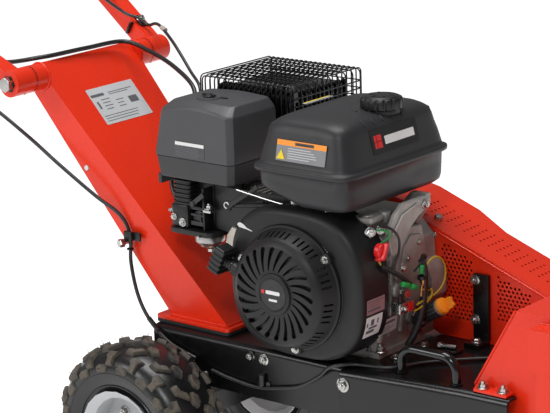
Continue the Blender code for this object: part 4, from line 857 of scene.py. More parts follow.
def handlebar():
    dress("handlebar_frame", RED, 1.6, 40.0)
    dress("pivot_bolt", ZINC, 0.8)
    dress("brake_lever", GLOSS_BLACK, 1.4)
    dress("throttle_lever", MOULD, 1.2)
    dress("stop_button", RED_KNOB, 1.0)
    for name, side in (("right", RIGHT), ("left", LEFT)):
        start, end = -804.0, -694.0
        profile = [(0.0, start), (13.0, start), (16.2, start + 2.0), (17.0, start + 4.5)]
        ribs = 14
        for index in range(ribs):
            at = start + 8.0 + index * 6.4
            profile += [(16.2, at), (16.9, at + 1.0), (16.9, at + 4.0), (16.2, at + 5.0)]
        profile += [(17.0, end - 8.5), (18.4, end - 7.0), (19.0, end - 5.0), (18.6, end - 1.0),
                    (17.6, end), (11.6, end), (11.6, start + 5.0), (0.0, start + 5.0)]
        grip = lathe(profile, (0.0, side * 262.0, 1016.0), X_AXIS, 40)
        add("hand_grip_" + name, grip, "handlebar", RUBBER, smooth=50.0,
            stands_for=("grip_" + name,))
        out = Y_AXIS * side
        socket = lathe([(12.0, 0.0), (16.0, 0.0), (16.0, 0.7), (12.0, 0.7)],
                       (PIVOT[0], side * 203.1, PIVOT[1]), out, 6)
        add("sleeve_socket_" + name, socket, "handlebar", GLOSS_BLACK)
        bead = tube([(PIVOT[0] + 24.0 * math.cos(a), side * 168.0 + 8.0 * math.sin(2 * a),
                      PIVOT[1] + 24.0 * math.sin(a))
                     for a in (math.radians(-60.0 - 5.0 * k) for k in range(34))], 1.6, 8)
        add("sleeve_weld_" + name, bead, "handlebar", RED, smooth=60.0)
    box_at = along_arm(LEFT, 64.0, 0.0, 17.5)
    along = (along_arm(LEFT, 100.0) - along_arm(LEFT, 0.0)).normalized()
    turn = aim((along_arm(LEFT, 0.0, 0.0, 10.0) - along_arm(LEFT, 0.0)), along)
    clamp = join(turned_block(box_at, (14.0, 30.0, 6.0), turn, 1.2),
                 turned_block(along_arm(LEFT, 64.0, -17.5, 2.0), (12.0, 5.0, 26.0), turn, 1.2))
    add("arm_clamp", clamp, "handlebar", GLOSS_BLACK)
    lift = (along_arm(LEFT, 0.0, 0.0, 10.0) - along_arm(LEFT, 0.0)).normalized()
    add("arm_clamp_bolt", hex_bolt(box_at + lift * 3.0, lift, 12.0, 5.5, stud=3.0), "handlebar", ZINC)


# ---------------------------------------------------------------- engine, right side
def hood_ring(low, high, cut_corner, z, arch=0.0, steps=9):
    """Ring with cut corners whose two long sides rise to an arch in the middle."""
    (x_low, y_low), (x_high, y_high) = low, high
    corners = [(x_low + cut_corner, y_low), (x_high - cut_corner, y_low),
               (x_high, y_low + cut_corner), (x_high, y_high - cut_corner),
               (x_high - cut_corner, y_high), (x_low + cut_corner, y_high),
               (x_low, y_high - cut_corner), (x_low, y_low + cut_corner)]
    ring = []
    for index, start in enumerate(corners):
        end = corners[(index + 1) % 8]
        long_side = index % 2 == 0
        count = steps if long_side else 2
        for step in range(count):
            t = step / count
            rise = arch * math.sin(math.pi * t) if index in (0, 4) else 0.0
            ring.append((start[0] + (end[0] - start[0]) * t, start[1] + (end[1] - start[1]) * t,
                         z + rise))
    return ring


def air_filter():
    """Hood with an arched shoulder, its tray with a leg, the knob and a plain label."""
    cut_corner = 10.0
    rings = [hood_ring((3.0, -120.0), (187.0, 17.0), cut_corner, 650.3),
             hood_ring((3.6, -119.9), (186.6, 16.9), cut_corner, 653.0),
             hood_ring((18.0, -117.2), (184.0, 16.0), cut_corner, 726.0, 1.5),
             hood_ring((19.5, -116.6), (183.4, 15.6), cut_corner, 731.5, 6.5),
             hood_ring((22.0, -113.5), (181.5, 14.0), cut_corner - 1.0, 735.0, 9.0),
             hood_ring((34.0, -97.0), (174.0, 8.0), cut_corner - 3.0, 747.0, 4.0),
             hood_ring((39.0, -92.0), (170.0, 4.0), cut_corner - 4.0, 749.0, 1.0)]
    hood = skinned(rings)
    cover = add("filter_hood", hood, "chassis", FILTER, smooth=50.0,
                stands_for=("air_filter_cover",))
    round_edges(cover, 1.3, 20.0, 2)
    add("filter_hood_dish", lathe([(0.0, 0.0), (19.0, 0.0), (20.5, -0.6), (22.0, 0.0),
                                          (22.0, 0.9), (20.5, 1.5), (19.0, 0.9), (0.0, 0.9)],
                                         (88.0, -58.0, 749.3), UP, 48), "chassis", FILTER)
    tray = skinned([hood_ring((12.0, -116.0), (181.0, 10.0), cut_corner, 612.2),
                    hood_ring((10.6, -117.0), (182.4, 11.4), cut_corner, 616.0),
                    hood_ring((5.6, -119.0), (185.6, 15.6), cut_corner, 647.5),
                    hood_ring((5.6, -119.0), (185.6, 15.6), cut_corner, 649.6)])
    leg = block((12.0, -116.0, 598.0), (20.0, -84.0, 616.0), 1.5)
    duct = block((40.0, -104.0, 608.0), (104.0, -62.0, 615.0), 1.0)
    add("filter_tray", join(tray, leg, duct), "chassis", TRAY, smooth=40.0, bevel=1.0,
        stands_for=("air_filter_base",))

    at = Vector((88.0, -58.0, 750.6))
    hub = lathe([(0.0, 0.2), (9.5, 0.2), (10.0, 0.8), (9.0, 2.8), (6.5, 3.4), (5.8, 5.2),
                 (4.8, 5.8), (0.0, 6.0)], at, UP, 32)
    wings = []
    for face in (1.0, -1.0):
        outline = [(3.0, 0.6), (9.0, 0.6), (14.2, 1.2), (15.2, 2.8), (13.6, 5.0), (9.0, 5.4),
                   (6.0, 4.4), (3.0, 4.0)]
        outline = [(a * face, b) for a, b in outline]
        wings.append(prism(outline, at + Vector((0.0, 2.3, 0.0)), X_AXIS, UP, 4.6))
    add("filter_wing_knob", join(hub, *wings), "filter_knob", MOULD, bevel=0.8,
        stands_for=("air_filter_knob",))
    oval = superellipse(8.0, 3.4, 2.0, (116.0, -50.0), 28)
    add("filter_oval_mark", skinned([[(x, y, z) for x, y in oval] for z in (749.0, 750.6)]),
        "chassis", MOULD)

    lean = Vector((0.0, 2.6, 76.0)).normalized()
    marks = [(1.0, 22.0, 66.0, 6.0, WHITE)]
    marks += text_lines(1.0, 3.0, 66.0, 6, 3.0, INK, 0.9, 11)
    flat_label("filter_label", "chassis", (58.0, -120.25, 652.0), X_AXIS, lean, (68.0, 29.0),
               FILTER, marks, 0.15)


def intake():
    """Ribbed cover, carburettor body behind its window, bowl, drain bolt and choke lever."""
    rings = []
    for index in range(6):
        z = 562.0 + index * 8.0
        for inset, level in ((2.6, 0.0), (0.0, 1.6), (0.0, 4.2), (2.6, 5.8)):
            outline = rounded_rectangle((36.0 + inset, -108.5 + inset), (78.0 - inset, -58.0 - inset),
                                        8.0)
            rings.append([(x, y, z + level) for x, y in outline])
    bellows = skinned(rings)
    body = block((33.0, -109.0, 521.0), (72.0, -58.0, 563.0), 4.0)
    shelf = block((70.0, -104.0, 556.0), (112.0, -58.0, 562.0), 1.0)
    shroud = block((72.0, -84.0, 521.0), (114.0, -58.0, 606.0), 2.0)
    wall = block((106.0, -108.0, 521.0), (110.0, -64.0, 598.0), 1.0)
    foot = prism(rounded_rectangle((26.0, -116.0), (134.0, -52.0), 20.0, 8), (0.0, 0.0, 512.0),
                 X_AXIS, Y_AXIS, 8.5, 1.2)
    add("intake_cover", join(bellows, body, shelf, shroud, wall, foot), "chassis", MOULD,
        smooth=40.0, stands_for=("carburettor_cover",))

    throat = join(lathe([(0.0, 0.0), (14.0, 0.0), (14.0, 16.0), (9.0, 18.0), (0.0, 18.0)],
                        (90.0, -84.0, 540.0), -Y_AXIS, 28),
                  block((76.0, -106.0, 528.0), (104.0, -90.0, 536.0), 1.0),
                  block((76.0, -105.0, 545.0), (104.0, -100.0, 549.0), 0.6),
                  rod((98.0, -104.0, 530.0), (98.0, -104.0, 551.0), 2.4, 12))
    add("carburettor_body", throat, "chassis", DARK_STEEL, bevel=0.4)
    bowl = lathe([(0.0, 511.6), (26.0, 511.6), (26.5, 509.6), (26.5, 500.0), (25.5, 497.5),
                  (20.5, 494.0), (19.5, 492.0), (0.0, 492.0)], (100.0, -84.0, 0.0), UP, 48)
    add("carburettor_bowl", bowl, "chassis", STEEL, stands_for=("carburettor",))
    cone = lathe([(0.0, 493.0), (19.4, 493.0), (18.0, 490.0), (9.0, 486.5), (7.5, 484.0),
                  (0.0, 484.0)], (100.0, -84.0, 0.0), UP, 40)
    add("carburettor_cone", cone, "chassis", COPPER)
    drain = join(lathe([(0.0, 484.5), (6.0, 484.5), (6.0, 478.5), (5.0, 477.4), (0.0, 477.4)],
                       (100.0, -84.0, 0.0), UP, 6))
    add("carburettor_drain", drain, "chassis", ZINC)

    bolts = join(hex_bolt((33.0, -104.0, 549.0), (-0.7, -0.7, 0.0), 8.0, 3.5, stud=3.0),
                 hex_bolt((40.0, -109.0, 539.0), -Y_AXIS, 8.0, 3.5),
                 hex_bolt((60.0, -109.0, 531.0), -Y_AXIS, 10.0, 4.0, stud=2.0),
                 hex_bolt((116.0, -102.0, 562.2), UP, 11.0, 5.0, stud=3.0),
                 hex_bolt((104.0, -118.0, 512.0), (0.2, -1.0, 0.0), 6.0, 3.0, washer=False))
    add("intake_bolts", bolts, "chassis", ZINC)
    tab = block((108.0, -110.0, 556.0), (126.0, -94.0, 561.0), 1.0)
    add("intake_tab", tab, "chassis", ZINC)
    dress("choke_lever", DARK_STEEL, 0.5)

    casting = prism([(0.0, 0.0), (32.0, -2.0), (36.0, 6.0), (36.0, 42.0), (20.0, 46.0), (8.0, 30.0)],
                    (141.0, -62.0, 489.0), X_AXIS, UP, 34.0, 3.0)
    add("intake_casting", casting, "chassis", BEIGE, bevel=1.0)
    panel = [(120.0, 524.0), (150.0, 520.0), (196.0, 548.0), (330.0, 560.0), (330.0, 603.0),
             (120.0, 603.0)]
    shroud = prism(panel, (0.0, -86.0, 0.0), X_AXIS, UP, 3.0, 0.8)
    add("cylinder_shroud", shroud, "chassis", MOULD, bevel=0.8)


def linkage():
    """Governor and throttle levers, rods and their bolts over the blower."""
    black = []
    lever = [(226.0, 616.0), (232.0, 624.0), (238.0, 617.0), (172.0, 573.0), (166.0, 580.0)]
    black.append(prism([(x, z) for x, z in lever], (0.0, -110.0, 0.0), X_AXIS, UP, 2.5))
    black.append(tube([(168.0 + 8.0 * math.cos(a), -111.0, 577.0 + 8.0 * math.sin(a))
                       for a in (math.radians(40.0 + 15.0 * k) for k in range(20))], 2.2, 8))
    bar = smooth_route([(160.0, -98.0, 574.0), (184.0, -106.0, 579.0), (236.0, -108.0, 586.0),
                        (292.0, -106.0, 590.0)], 8.0)
    black.append(tube(bar, 4.2, 10))
    black.append(block((226.0, -104.0, 574.0), (240.0, -96.0, 592.0), 1.0))
    black.append(prism(rounded_rectangle((0.0, 0.0), (70.0, 26.0), 6.0, 4),
                       (244.0, -84.0, 592.0), X_AXIS, Vector((0.0, 0.2, 1.0)), 3.0))
    black.append(block((296.0, -104.0, 588.0), (350.0, -80.0, 601.0), 3.0))
    add("linkage_levers", join(*black), "chassis", MOULD, bevel=0.6)

    steel = [wire([(190.0, -112.0, 609.0), (230.0, -112.0, 604.0), (274.0, -112.0, 599.0),
                   (346.0, -112.0, 593.6)], 1.3),
             wire([(346.0, -112.0, 593.0), (384.0, -110.0, 597.0), (424.0, -106.0, 603.0)], 1.0)]
    steel.append(hex_bolt((312.0, -104.0, 603.0), (0.0, -0.8, 0.5), 10.0, 4.0))
    steel.append(hex_bolt((352.0, -106.0, 597.0), (0.0, -1.0, 0.2), 9.0, 4.0, stud=2.0))
    steel.append(tube([(350.0 + 7.0 * math.cos(a), -108.0, 595.0 + 7.0 * math.sin(a))
                       for a in (math.radians(20.0 * k) for k in range(18))], 1.6, 8, closed=True))
    add("linkage_rods", join(*steel), "chassis", ZINC)
    spring = []
    for step in range(120):
        turn = 2.0 * math.pi * step / 12.0
        spring.append((300.0 + step * 0.32, -112.0 + 2.6 * math.cos(turn), 597.4 + 2.6 * math.sin(turn)))
    add("governor_spring", tube(spring, 0.6, 6), "chassis", ZINC)
    white = tube([(167.0 + 5.2 * math.cos(a), -113.6, 578.0 + 5.2 * math.sin(a))
                  for a in (math.radians(20.0 + 15.0 * k) for k in range(18))], 1.1, 6)
    add("throttle_cable_end", white, "chassis", WHITE)


def starter():
    """Recoil cover with swirling vents, its hub, side louvres, bolts and the T handle."""
    x, z = CRANK
    centre = (x, 0.0, z)
    profile = [(0.0, -188.0), (27.0, -188.0), (28.0, -188.6), (29.5, -190.0), (34.0, -190.0),
               (35.6, -189.0), (36.4, -185.8), (78.0, -185.2), (81.5, -184.6), (84.0, -183.2),
               (92.0, -178.0), (94.0, -174.5), (104.4, -148.5), (105.4, -146.6), (109.0, -145.8),
               (109.0, -140.35), (101.0, -140.35), (99.5, -147.0), (89.0, -174.0), (80.0, -180.6),
               (0.0, -181.6)]
    cover = lathe([(r, y) for r, y in profile], centre, Y_AXIS, 128)
    shell = add("recoil_shell", cover, "chassis", SHELL, smooth=38.0, stands_for=("recoil_cover",))

    vents = []
    count = 24
    for index in range(count):
        base = math.radians(360.0 * index / count)
        left, right = [], []
        for step in range(9):
            t = step / 8.0
            radius = 40.0 + 37.0 * t
            angle = base + math.radians(-14.0 * t)
            half = 1.3 + 3.6 * t ** 1.3
            if step == 0:
                half = 0.7
            swirl = Vector((-math.sin(angle), math.cos(angle)))
            middle = Vector((math.cos(angle), math.sin(angle))) * radius
            left.append(middle + swirl * half)
            right.append(middle - swirl * half)
        end = base + math.radians(-14.6)
        tip = Vector((math.cos(end), math.sin(end))) * 77.0
        cap = [tip + Vector((math.cos(end + a), math.sin(end + a))) * 5.0
               for a in (math.radians(d) for d in (-70, -35, 0, 35, 70))]
        outline = right + cap + left[::-1]
        vents.append(skinned([[(x + p.x, y, z + p.y) for p in outline] for y in (-192.0, -178.0)]))
    groups = [(58.0, 5), (22.0, 4), (-14.0, 4), (-50.0, 5), (94.0, 5), (130.0, 5), (-86.0, 5),
              (-122.0, 5), (-158.0, 5), (166.0, 5)]
    for middle, slots in groups:
        for index in range(slots):
            angle = math.radians(middle + (index - (slots - 1) / 2.0) * 6.2)
            radial = Vector((math.cos(angle), 0.0, math.sin(angle)))
            along = Vector((radial.x * 11.0, 28.0, radial.z * 11.0)).normalized()
            side = radial.cross(Y_AXIS).normalized()
            at = Vector(centre) + radial * 97.5 + Y_AXIS * -163.0
            turn = Matrix((side, along, side.cross(along))).transposed()
            vents.append(turned_block(at, (3.6, 18.0, 16.0), turn, 1.2))
    carve(shell, join(*vents))

    add("recoil_hub_face", lathe([(0.0, -188.6), (26.6, -188.6), (27.0, -188.2), (27.0, -187.0),
                                  (0.0, -187.0)], centre, Y_AXIS, 64), "chassis", LEATHER)
    badge = prism(rounded_rectangle((-15.0, -3.2), (15.0, 3.2), 2.0), (x, -188.7, z + 3.0), X_AXIS, UP,
                  0.5)
    add("recoil_badge", badge, "chassis", WHITE)
    chip = prism(rounded_rectangle((-3.2, -3.2), (3.2, 3.2), 1.0), (x - 21.0, -188.7, z + 3.0), X_AXIS,
                 UP, 0.5)
    add("recoil_badge_red", chip, "chassis", LABEL_RED)
    line = prism(rounded_rectangle((-9.0, -2.0), (9.0, 2.0), 1.5), (x, -188.7, z - 10.0), X_AXIS, UP,
                 0.5)
    add("recoil_badge_low", line, "chassis", WHITE)

    disc = lathe([(0.0, -176.5), (78.0, -176.5), (78.0, -175.5), (0.0, -175.5)], centre, Y_AXIS, 64)
    add("recoil_inner_plate", disc, "chassis", DARK_STEEL)
    dress("starter_reel", DARK_STEEL, 0.5)

    bosses, bolts = [], []
    for angle in (38.0, 158.0, 278.0):
        turn = math.radians(angle)
        radial = Vector((math.cos(turn), 0.0, math.sin(turn)))
        at = Vector(centre) + radial * 104.0
        bosses.append(lathe([(0.0, -141.0), (10.5, -141.0), (10.5, -149.0), (8.5, -151.0),
                             (0.0, -151.0)], (at.x, 0.0, at.z), Y_AXIS, 28))
        bolts.append(hex_bolt((at.x, -151.0, at.z), -Y_AXIS, 9.5, 4.5))
    add("recoil_bosses", join(*bosses), "chassis", SHELL, bevel=0.6)
    add("recoil_bolts", join(*bolts), "chassis", ZINC)
    seam = tube([(x + 109.6 * math.cos(a), -140.6, z + 109.6 * math.sin(a))
                 for a in (math.radians(3.0 * k) for k in range(120))], 0.9, 6, closed=True)
    add("recoil_seam", seam, "chassis", GLOSS_BLACK)

    rise = math.radians(24.0)
    start = Vector((219.2, -162.0, 486.7))
    along = Vector((-math.cos(rise), 0.0, math.sin(rise)))
    guide = lathe([(4.6, -30.0), (11.0, -30.0), (11.0, -1.0), (9.5, 1.0), (6.0, 1.0), (4.6, -1.0)],
                  start, along, 32)
    add("rope_guide", guide, "chassis", SHELL)
    stem = [(0.0, 1.6), (7.0, 1.6), (8.0, 2.6), (8.0, 6.0), (6.6, 7.0), (6.6, 8.5), (8.0, 9.5),
            (8.0, 12.0), (6.6, 13.0), (6.6, 14.5), (8.6, 16.0), (9.0, 20.0), (0.0, 20.0)]
    turn = aim(along, Y_AXIS)
    middle = start + along * 28.0
    side = Matrix((along, Y_AXIS, along.cross(Y_AXIS))).transposed()
    grip = [lathe(stem, start, along, 28), turned_block(middle, (22.0, 32.0, 50.0), side, 3.5)]
    for index in range(5):
        shift = (index - 2) * 9.6
        grip.append(turned_block(middle + along.cross(Y_AXIS) * shift, (26.0, 36.0, 4.6), side, 1.4))
    add("pull_handle_grip", join(*grip), "pull_handle", MOULD, bevel=0.5,
        stands_for=("starter_handle",))
    rope = rod(start - along * 26.0, start + along * 6.0, 2.4, 12)
    cord = add("starter_rope", rope, None, RUBBER)
    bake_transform(cord)


def blower():
    """Smooth shell behind the starter, with a mark; its plain labels are made by blower_labels()."""
    centre = (331.0, 469.0)
    count = 144
    front, back, wall = -140.0, -63.0, 3.0

    def ring(inset, y):
        return [(px, y, pz) for px, pz in superellipse(143.0 - inset, 131.0 - inset, 2.8, centre,
                                                       count)]

    def mouth(y, radius=98.0):
        return [(CRANK[0] + radius * math.cos(2 * math.pi * k / count), y,
                 CRANK[1] + radius * math.sin(2 * math.pi * k / count)) for k in range(count)]

    rings = [ring(0.0, back), ring(0.0, back - 3.0), ring(0.5, front + 24.0)]
    for step in range(9):
        a = math.radians(90.0 * step / 8.0)
        rings.append(ring(0.8 + 15.0 * (1.0 - math.cos(a)), front + 15.0 - 15.0 * math.sin(a)))
    rings += [mouth(front), mouth(front + wall), ring(18.0, front + wall), ring(wall, front + 22.0),
              ring(wall, back)]
    add("blower_shell", skinned(rings, closed_loop=True), "chassis", SHELL, smooth=60.0,
        stands_for=("blower_housing",))
    for name, skin in (("flywheel", CAST), ("crankshaft", STEEL)):
        dress(name, skin, 0.5)

    drop = [(0.0, 3.0), (4.0, 6.0), (10.0, 5.5), (20.0, 1.6), (31.0, 0.8), (33.0, 0.0), (31.0, -0.8),
            (20.0, -1.2), (10.0, -2.2), (3.0, -2.8), (-1.5, 0.0)]
    slant = Vector((0.975, 0.0, -0.22))
    add("blower_mark", prism(drop, (214.0, -140.05, 557.0), slant, Vector((0.22, 0.0, 0.975)), 0.25),
        "chassis", WHITE)


def curved_label(name, low, high, y_low, y_high, skin, marks=()):
    """A label bent round the blower's front side between two heights."""
    def side_x(z, lift):
        reach = (1.0 - (abs(z - 469.0) / 131.0) ** 2.8) ** (1.0 / 2.8) * 143.0
        return 331.0 + reach + lift

    def strip(z_low, z_high, a, b, lift):
        rows = [[(side_x(z_low + (z_high - z_low) * k / 8.0, lift), y,
                  z_low + (z_high - z_low) * k / 8.0) for k in range(9)]
                for y in (a, b)]
        bm = bmesh.new()
        verts = [[bm.verts.new(p) for p in row] for row in rows]
        for k in range(8):
            bm.faces.new((verts[0][k], verts[0][k + 1], verts[1][k + 1], verts[1][k]))
        return bm

    skins = [skin]
    parts = [strip(low, high, y_low, y_high, 0.25)]
    for a, b, z_low, z_high, mark in marks:
        if mark not in skins:
            skins.append(mark)
        parts.append(paint(strip(z_low, z_high, a, b, 0.4), skins.index(mark)))
    add(name, join(*parts), "chassis", skin, smooth=80.0, more=skins[1:])


def blower_labels():
    curved_label("blower_label_mauve", 434.0, 460.0, -123.0, -74.0, MAUVE,
                 [(-120.0, -77.0, 455.0, 456.5, INK), (-120.0, -84.0, 451.0, 452.0, INK),
                  (-120.0, -90.0, 447.0, 448.0, INK), (-120.0, -86.0, 439.0, 443.0, INK)])
    curved_label("blower_label_white", 392.0, 430.0, -123.0, -78.0, WHITE,
                 [(-118.0, -96.0, 399.0, 405.0, INK), (-113.0, -90.0, 407.0, 411.0, INK),
                  (-109.0, -100.0, 413.0, 424.0, INK), (-120.0, -116.0, 412.0, 419.0, INK),
                  (-92.0, -88.0, 414.0, 423.0, INK)])


def crankcase():
    """Cast case with ribbed side cover, bosses, feet bolts and the tank's arms."""
    case = copy_of("engine_crankcase", "chassis", CAST, bevel=2.2)
    case["detail"] = True

    parts = []
    for y, low, high, out in ((-56.0, 368.0, 560.0, 6.0), (-30.0, 372.0, 556.0, 4.0),
                              (4.0, 372.0, 548.0, 5.0), (34.0, 376.0, 540.0, 4.0)):
        route = [Vector((case_front(z) + out * 0.3, y + 5.0 * math.sin(z / 37.0), z))
                 for z in range(int(low), int(high), 8)]
        parts.append(tube(route, out, 10))
    for z, out in ((538.0, 3.4), (508.0, 2.6), (476.0, 2.6)):
        parts.append(tube([Vector((case_front(z) + 0.5, y, z + y * 0.1)) for y in range(-50, 60, 10)],
                          out, 8))
    for y, z, radius, out in ((-24.0, 452.0, 13.0, 14.0), (10.0, 500.0, 12.0, 10.0),
                              (44.0, 520.0, 14.0, 12.0), (52.0, 468.0, 12.0, 10.0),
                              (-2.0, 532.0, 11.0, 8.0), (24.0, 396.0, 14.0, 8.0)):
        start = Vector((case_front(z) - 6.0, y, z))
        parts.append(lathe([(0.0, 0.0), (radius + 2.0, 0.0), (radius, out + 4.0),
                            (radius - 1.8, out + 6.0), (0.0, out + 6.0)], start, X_AXIS, 28))
    cover = [(-18.0, 470.0), (-8.0, 530.0), (18.0, 552.0), (58.0, 548.0), (72.0, 500.0), (70.0, 430.0),
             (40.0, 404.0), (0.0, 410.0)]
    parts.append(prism([(y, z) for y, z in cover], (case_front(480.0) - 3.0, 0.0, 0.0), Y_AXIS, UP,
                       9.0, 2.4))
    inner = [(-6.0, 478.0), (2.0, 520.0), (22.0, 538.0), (50.0, 534.0), (60.0, 496.0), (58.0, 444.0),
             (38.0, 420.0), (6.0, 424.0)]
    parts.append(prism([(y, z) for y, z in inner], (case_front(480.0) + 5.5, 0.0, 0.0), Y_AXIS, UP,
                       4.0, 1.6))
    add("case_cover_ribs", join(*parts), "chassis", CAST, smooth=45.0, bevel=0.8)

    lug = join(block((404.0, -78.0, 575.0), (452.0, -28.0, 588.0), 5.0, 3),
               rod((446.0, -32.0, 572.0), (446.0, -32.0, 590.0), 10.0, 28),
               rod((436.0, -66.0, 570.0), (436.0, -66.0, 590.0), 9.0, 28))
    add("tank_lug", lug, "chassis", CAST, smooth=45.0)
    arm = prism([(-61.0, 560.0), (-40.0, 588.0), (-18.0, 603.0), (48.0, 603.0), (56.0, 583.0),
                 (25.0, 575.0), (-12.0, 552.0), (-30.0, 520.0), (-52.0, 520.0)],
                (466.0, 0.0, 0.0), Y_AXIS, UP, 9.0, 2.0)
    rib = tube([(476.0, -50.0, 556.0), (477.0, -24.0, 584.0), (477.0, 20.0, 594.0)], 3.0, 10)
    add("tank_arm", join(arm, rib), "chassis", CAST, smooth=45.0, bevel=0.8)

    bolts = [hex_bolt((475.0, 42.0, 590.0), X_AXIS, 11.0, 5.0, stud=2.0),
             hex_bolt((454.0, -84.0, 566.0), (0.7, -0.7, 0.0), 12.0, 6.0, stud=2.0),
             hex_bolt((462.0, -66.0, 568.0), (0.8, -0.6, 0.0), 10.0, 5.0),
             hex_bolt((448.0, -54.0, 348.4), UP, 15.0, 8.0, stud=5.0),
             hex_bolt((430.0, -58.0, 348.4), UP, 12.0, 6.0, stud=3.0),
             hex_bolt((440.0, 62.0, 348.4), UP, 15.0, 8.0, stud=5.0),
             hex_bolt((case_front(500.0) + 8.0, 10.0, 500.0), X_AXIS, 10.0, 5.0),
             hex_bolt((case_front(520.0) + 8.0, 44.0, 520.0), X_AXIS, 10.0, 5.0),
             hex_bolt((case_front(468.0) + 8.0, 52.0, 468.0), X_AXIS, 10.0, 5.0),
             hex_bolt((case_front(396.0) + 6.0, 24.0, 396.0), X_AXIS, 11.0, 5.0)]
    add("case_bolts", join(*bolts), "chassis", ZINC)

    flat_label("case_plate", "chassis", (455.6, -70.0, 380.0), Vector((0.0, 1.0, 0.06)),
               Vector((0.16, 0.0, 1.0)), (50.0, 26.0), SILVER,
               [(3.0, 17.0, 40.0, 4.0, INK)] + text_lines(3.0, 4.0, 40.0, 3, 3.6, INK, 1.2, 8), 0.5)
    dress("cylinder_block", CAST, 0.8)
    fins = []
    for index in range(15):
        at = 120.0 + index * 6.9
        outline = [cylinder_at(at, -56.0), cylinder_at(at + 2.2, -56.0), cylinder_at(at + 2.2, 56.0),
                   cylinder_at(at, 56.0)]
        fins.append(skinned([[(px, y, pz) for px, pz in outline] for y in (-52.0, 66.0)]))
    add("cylinder_fins", join(*fins), "chassis", CAST, bevel=0.5)


def case_front(z):
    """Front face of the crankcase casting at a height."""
    if z < 420.0:
        return 442.0 + 13.0 * (z - 342.0) / 78.0
    if z < 520.0:
        return 455.0 - 7.0 * (z - 420.0) / 100.0
    return 448.0 - 44.0 * (z - 520.0) / 43.0


def cylinder_at(along, across):
    cosine, sine = math.cos(math.radians(25.0)), math.sin(math.radians(25.0))
    return (CRANK[0] - along * cosine + across * sine, CRANK[1] + along * sine + across * cosine)


def tank():
    """Rolled-rim tank with soft shoulders, the ring round its filler, cap and plain labels."""
    profile = [(40.0, 603.9), (26.0, 604.3), (17.0, 607.0), (11.0, 612.0), (9.0, 620.0),
               (8.2, 640.0), (7.6, 660.0), (5.0, 661.6), (1.2, 662.6), (0.0, 665.0), (0.0, 669.0),
               (1.2, 671.4), (4.4, 672.6), (7.0, 674.4), (8.4, 680.0), (13.0, 700.0), (17.6, 716.0),
               (20.2, 728.0), (23.6, 738.0), (29.0, 744.6), (38.0, 749.0), (56.0, 752.2),
               (80.0, 754.0), (98.0, 754.6)]
    count = 120
    rings = []
    for inset, z in profile:
        power = 9.0 if inset < 24.0 else 6.0
        outline = superellipse(106.0 - inset, 154.0 - inset, power, (354.0, 1.0), count)
        rings.append([(x, y, z + 26.0 * max(0.0, min(1.0, (352.0 - x) / 80.0))
                       * max(0.0, 655.0 - z) / 51.0) for x, y in outline])
    add("tank_body", skinned(rings), "chassis", TANK, smooth=60.0, stands_for=("fuel_tank",))

    x, y = 405.0, 20.0
    neck = lathe([(0.0, 745.0), (31.0, 745.0), (30.0, 751.5), (28.0, 752.5), (28.0, 756.0),
                  (0.0, 756.0)], (x, y, 0.0), UP, 48)
    ridge = tube([(x - 4.0 + 50.0 * math.cos(a), y - 2.0 + 50.0 * math.sin(a), 749.0)
                  for a in (math.radians(110.0 + 4.0 * k) for k in range(38))], 2.4, 10)
    ridge.transform(Matrix.Translation((0.0, 0.0, 3.6)))
    notches = []
    for index in range(5):
        at = -96.0 + index * 26.0
        notches.append(turned_block((431.0, at + 30.0, 744.5), (14.0, 4.0, 2.4),
                                    Matrix.Rotation(math.radians(38.0), 3, "Y"), 1.0))
    add("tank_neck", join(neck, ridge, *notches), "chassis", TANK, smooth=50.0)

    def scallop(angle, radius, along):
        if radius < 35.0 or along > 771.0:
            return radius
        return radius - 2.6 * max(0.0, math.cos(16.0 * angle)) ** 0.6 if along > 754.0 else radius

    cap = lathe([(0.0, 753.4), (34.0, 753.4), (36.0, 754.4), (36.5, 756.6), (36.5, 767.5),
                 (35.2, 770.6), (32.5, 772.2), (30.5, 772.4), (29.5, 773.6), (24.0, 774.8),
                 (12.0, 775.4), (0.0, 775.6)], (x, y, 0.0), UP, 128, scallop)
    marks = []
    for index in range(6):
        angle = math.radians(60.0 * index + 20.0)
        marks.append(turned_block((x + 17.0 * math.cos(angle), y + 17.0 * math.sin(angle), 775.2),
                                  (9.0, 3.0, 1.6), Matrix.Rotation(angle, 3, "Z"), 0.5))
    add("tank_cap_knob", join(cap, *marks), "tank_cap", MOULD, smooth=40.0,
        stands_for=("fuel_cap",))

    wall = Vector((0.0, 10.2, 44.0)).normalized()
    marks = [(0.0, 26.0, 104.0, 9.0, LABEL_ORANGE), (38.0, 28.0, 40.0, 5.0, INK)]
    marks += text_lines(24.0, 5.0, 70.0, 5, 4.0, SILVER, 1.1, 21)
    label = flat_label("tank_side_label", "chassis", (306.0, -144.9, 684.0), X_AXIS, wall,
                       (104.0, 35.0), MAUVE_GREY, marks, 0.2)
    label["detail"] = True
    sign = prism([(0.0, 0.0), (18.0, 0.0), (9.0, 16.0)], Vector((308.0, -145.35, 687.0)), X_AXIS, wall,
                 0.2)
    add("tank_sign", sign, "chassis", LABEL_YELLOW)
    slope = Vector((-0.253, 0.0, 0.967)).normalized()
    across = Vector((0.0, 1.0, 0.0))
    marks = [(8.0, 9.0, 20.0, 22.0, LABEL_RED), (14.0, 9.0, 2.0, 22.0, BLACK_LABEL),
             (8.0, 19.0, 20.0, 2.0, BLACK_LABEL), (36.0, 12.0, 82.0, 14.0, WHITE)]
    flat_label("tank_front_badge", "chassis", (449.3, -62.0, 692.0), across, slope, (128.0, 42.0),
               BLACK_LABEL, marks, 0.4)
    strip = [(2.0, 7.0, 70.0, 4.0, LABEL_YELLOW)] + [(2.0, 1.5, 70.0, 3.5, INK)]
    flat_label("tank_top_strip", "chassis", (281.0, -26.0, 753.2), Vector((0.0, 1.0, 0.0)),
               Vector((-1.0, 0.0, -0.05)), (74.0, 10.0), SILVER, strip, 0.4)


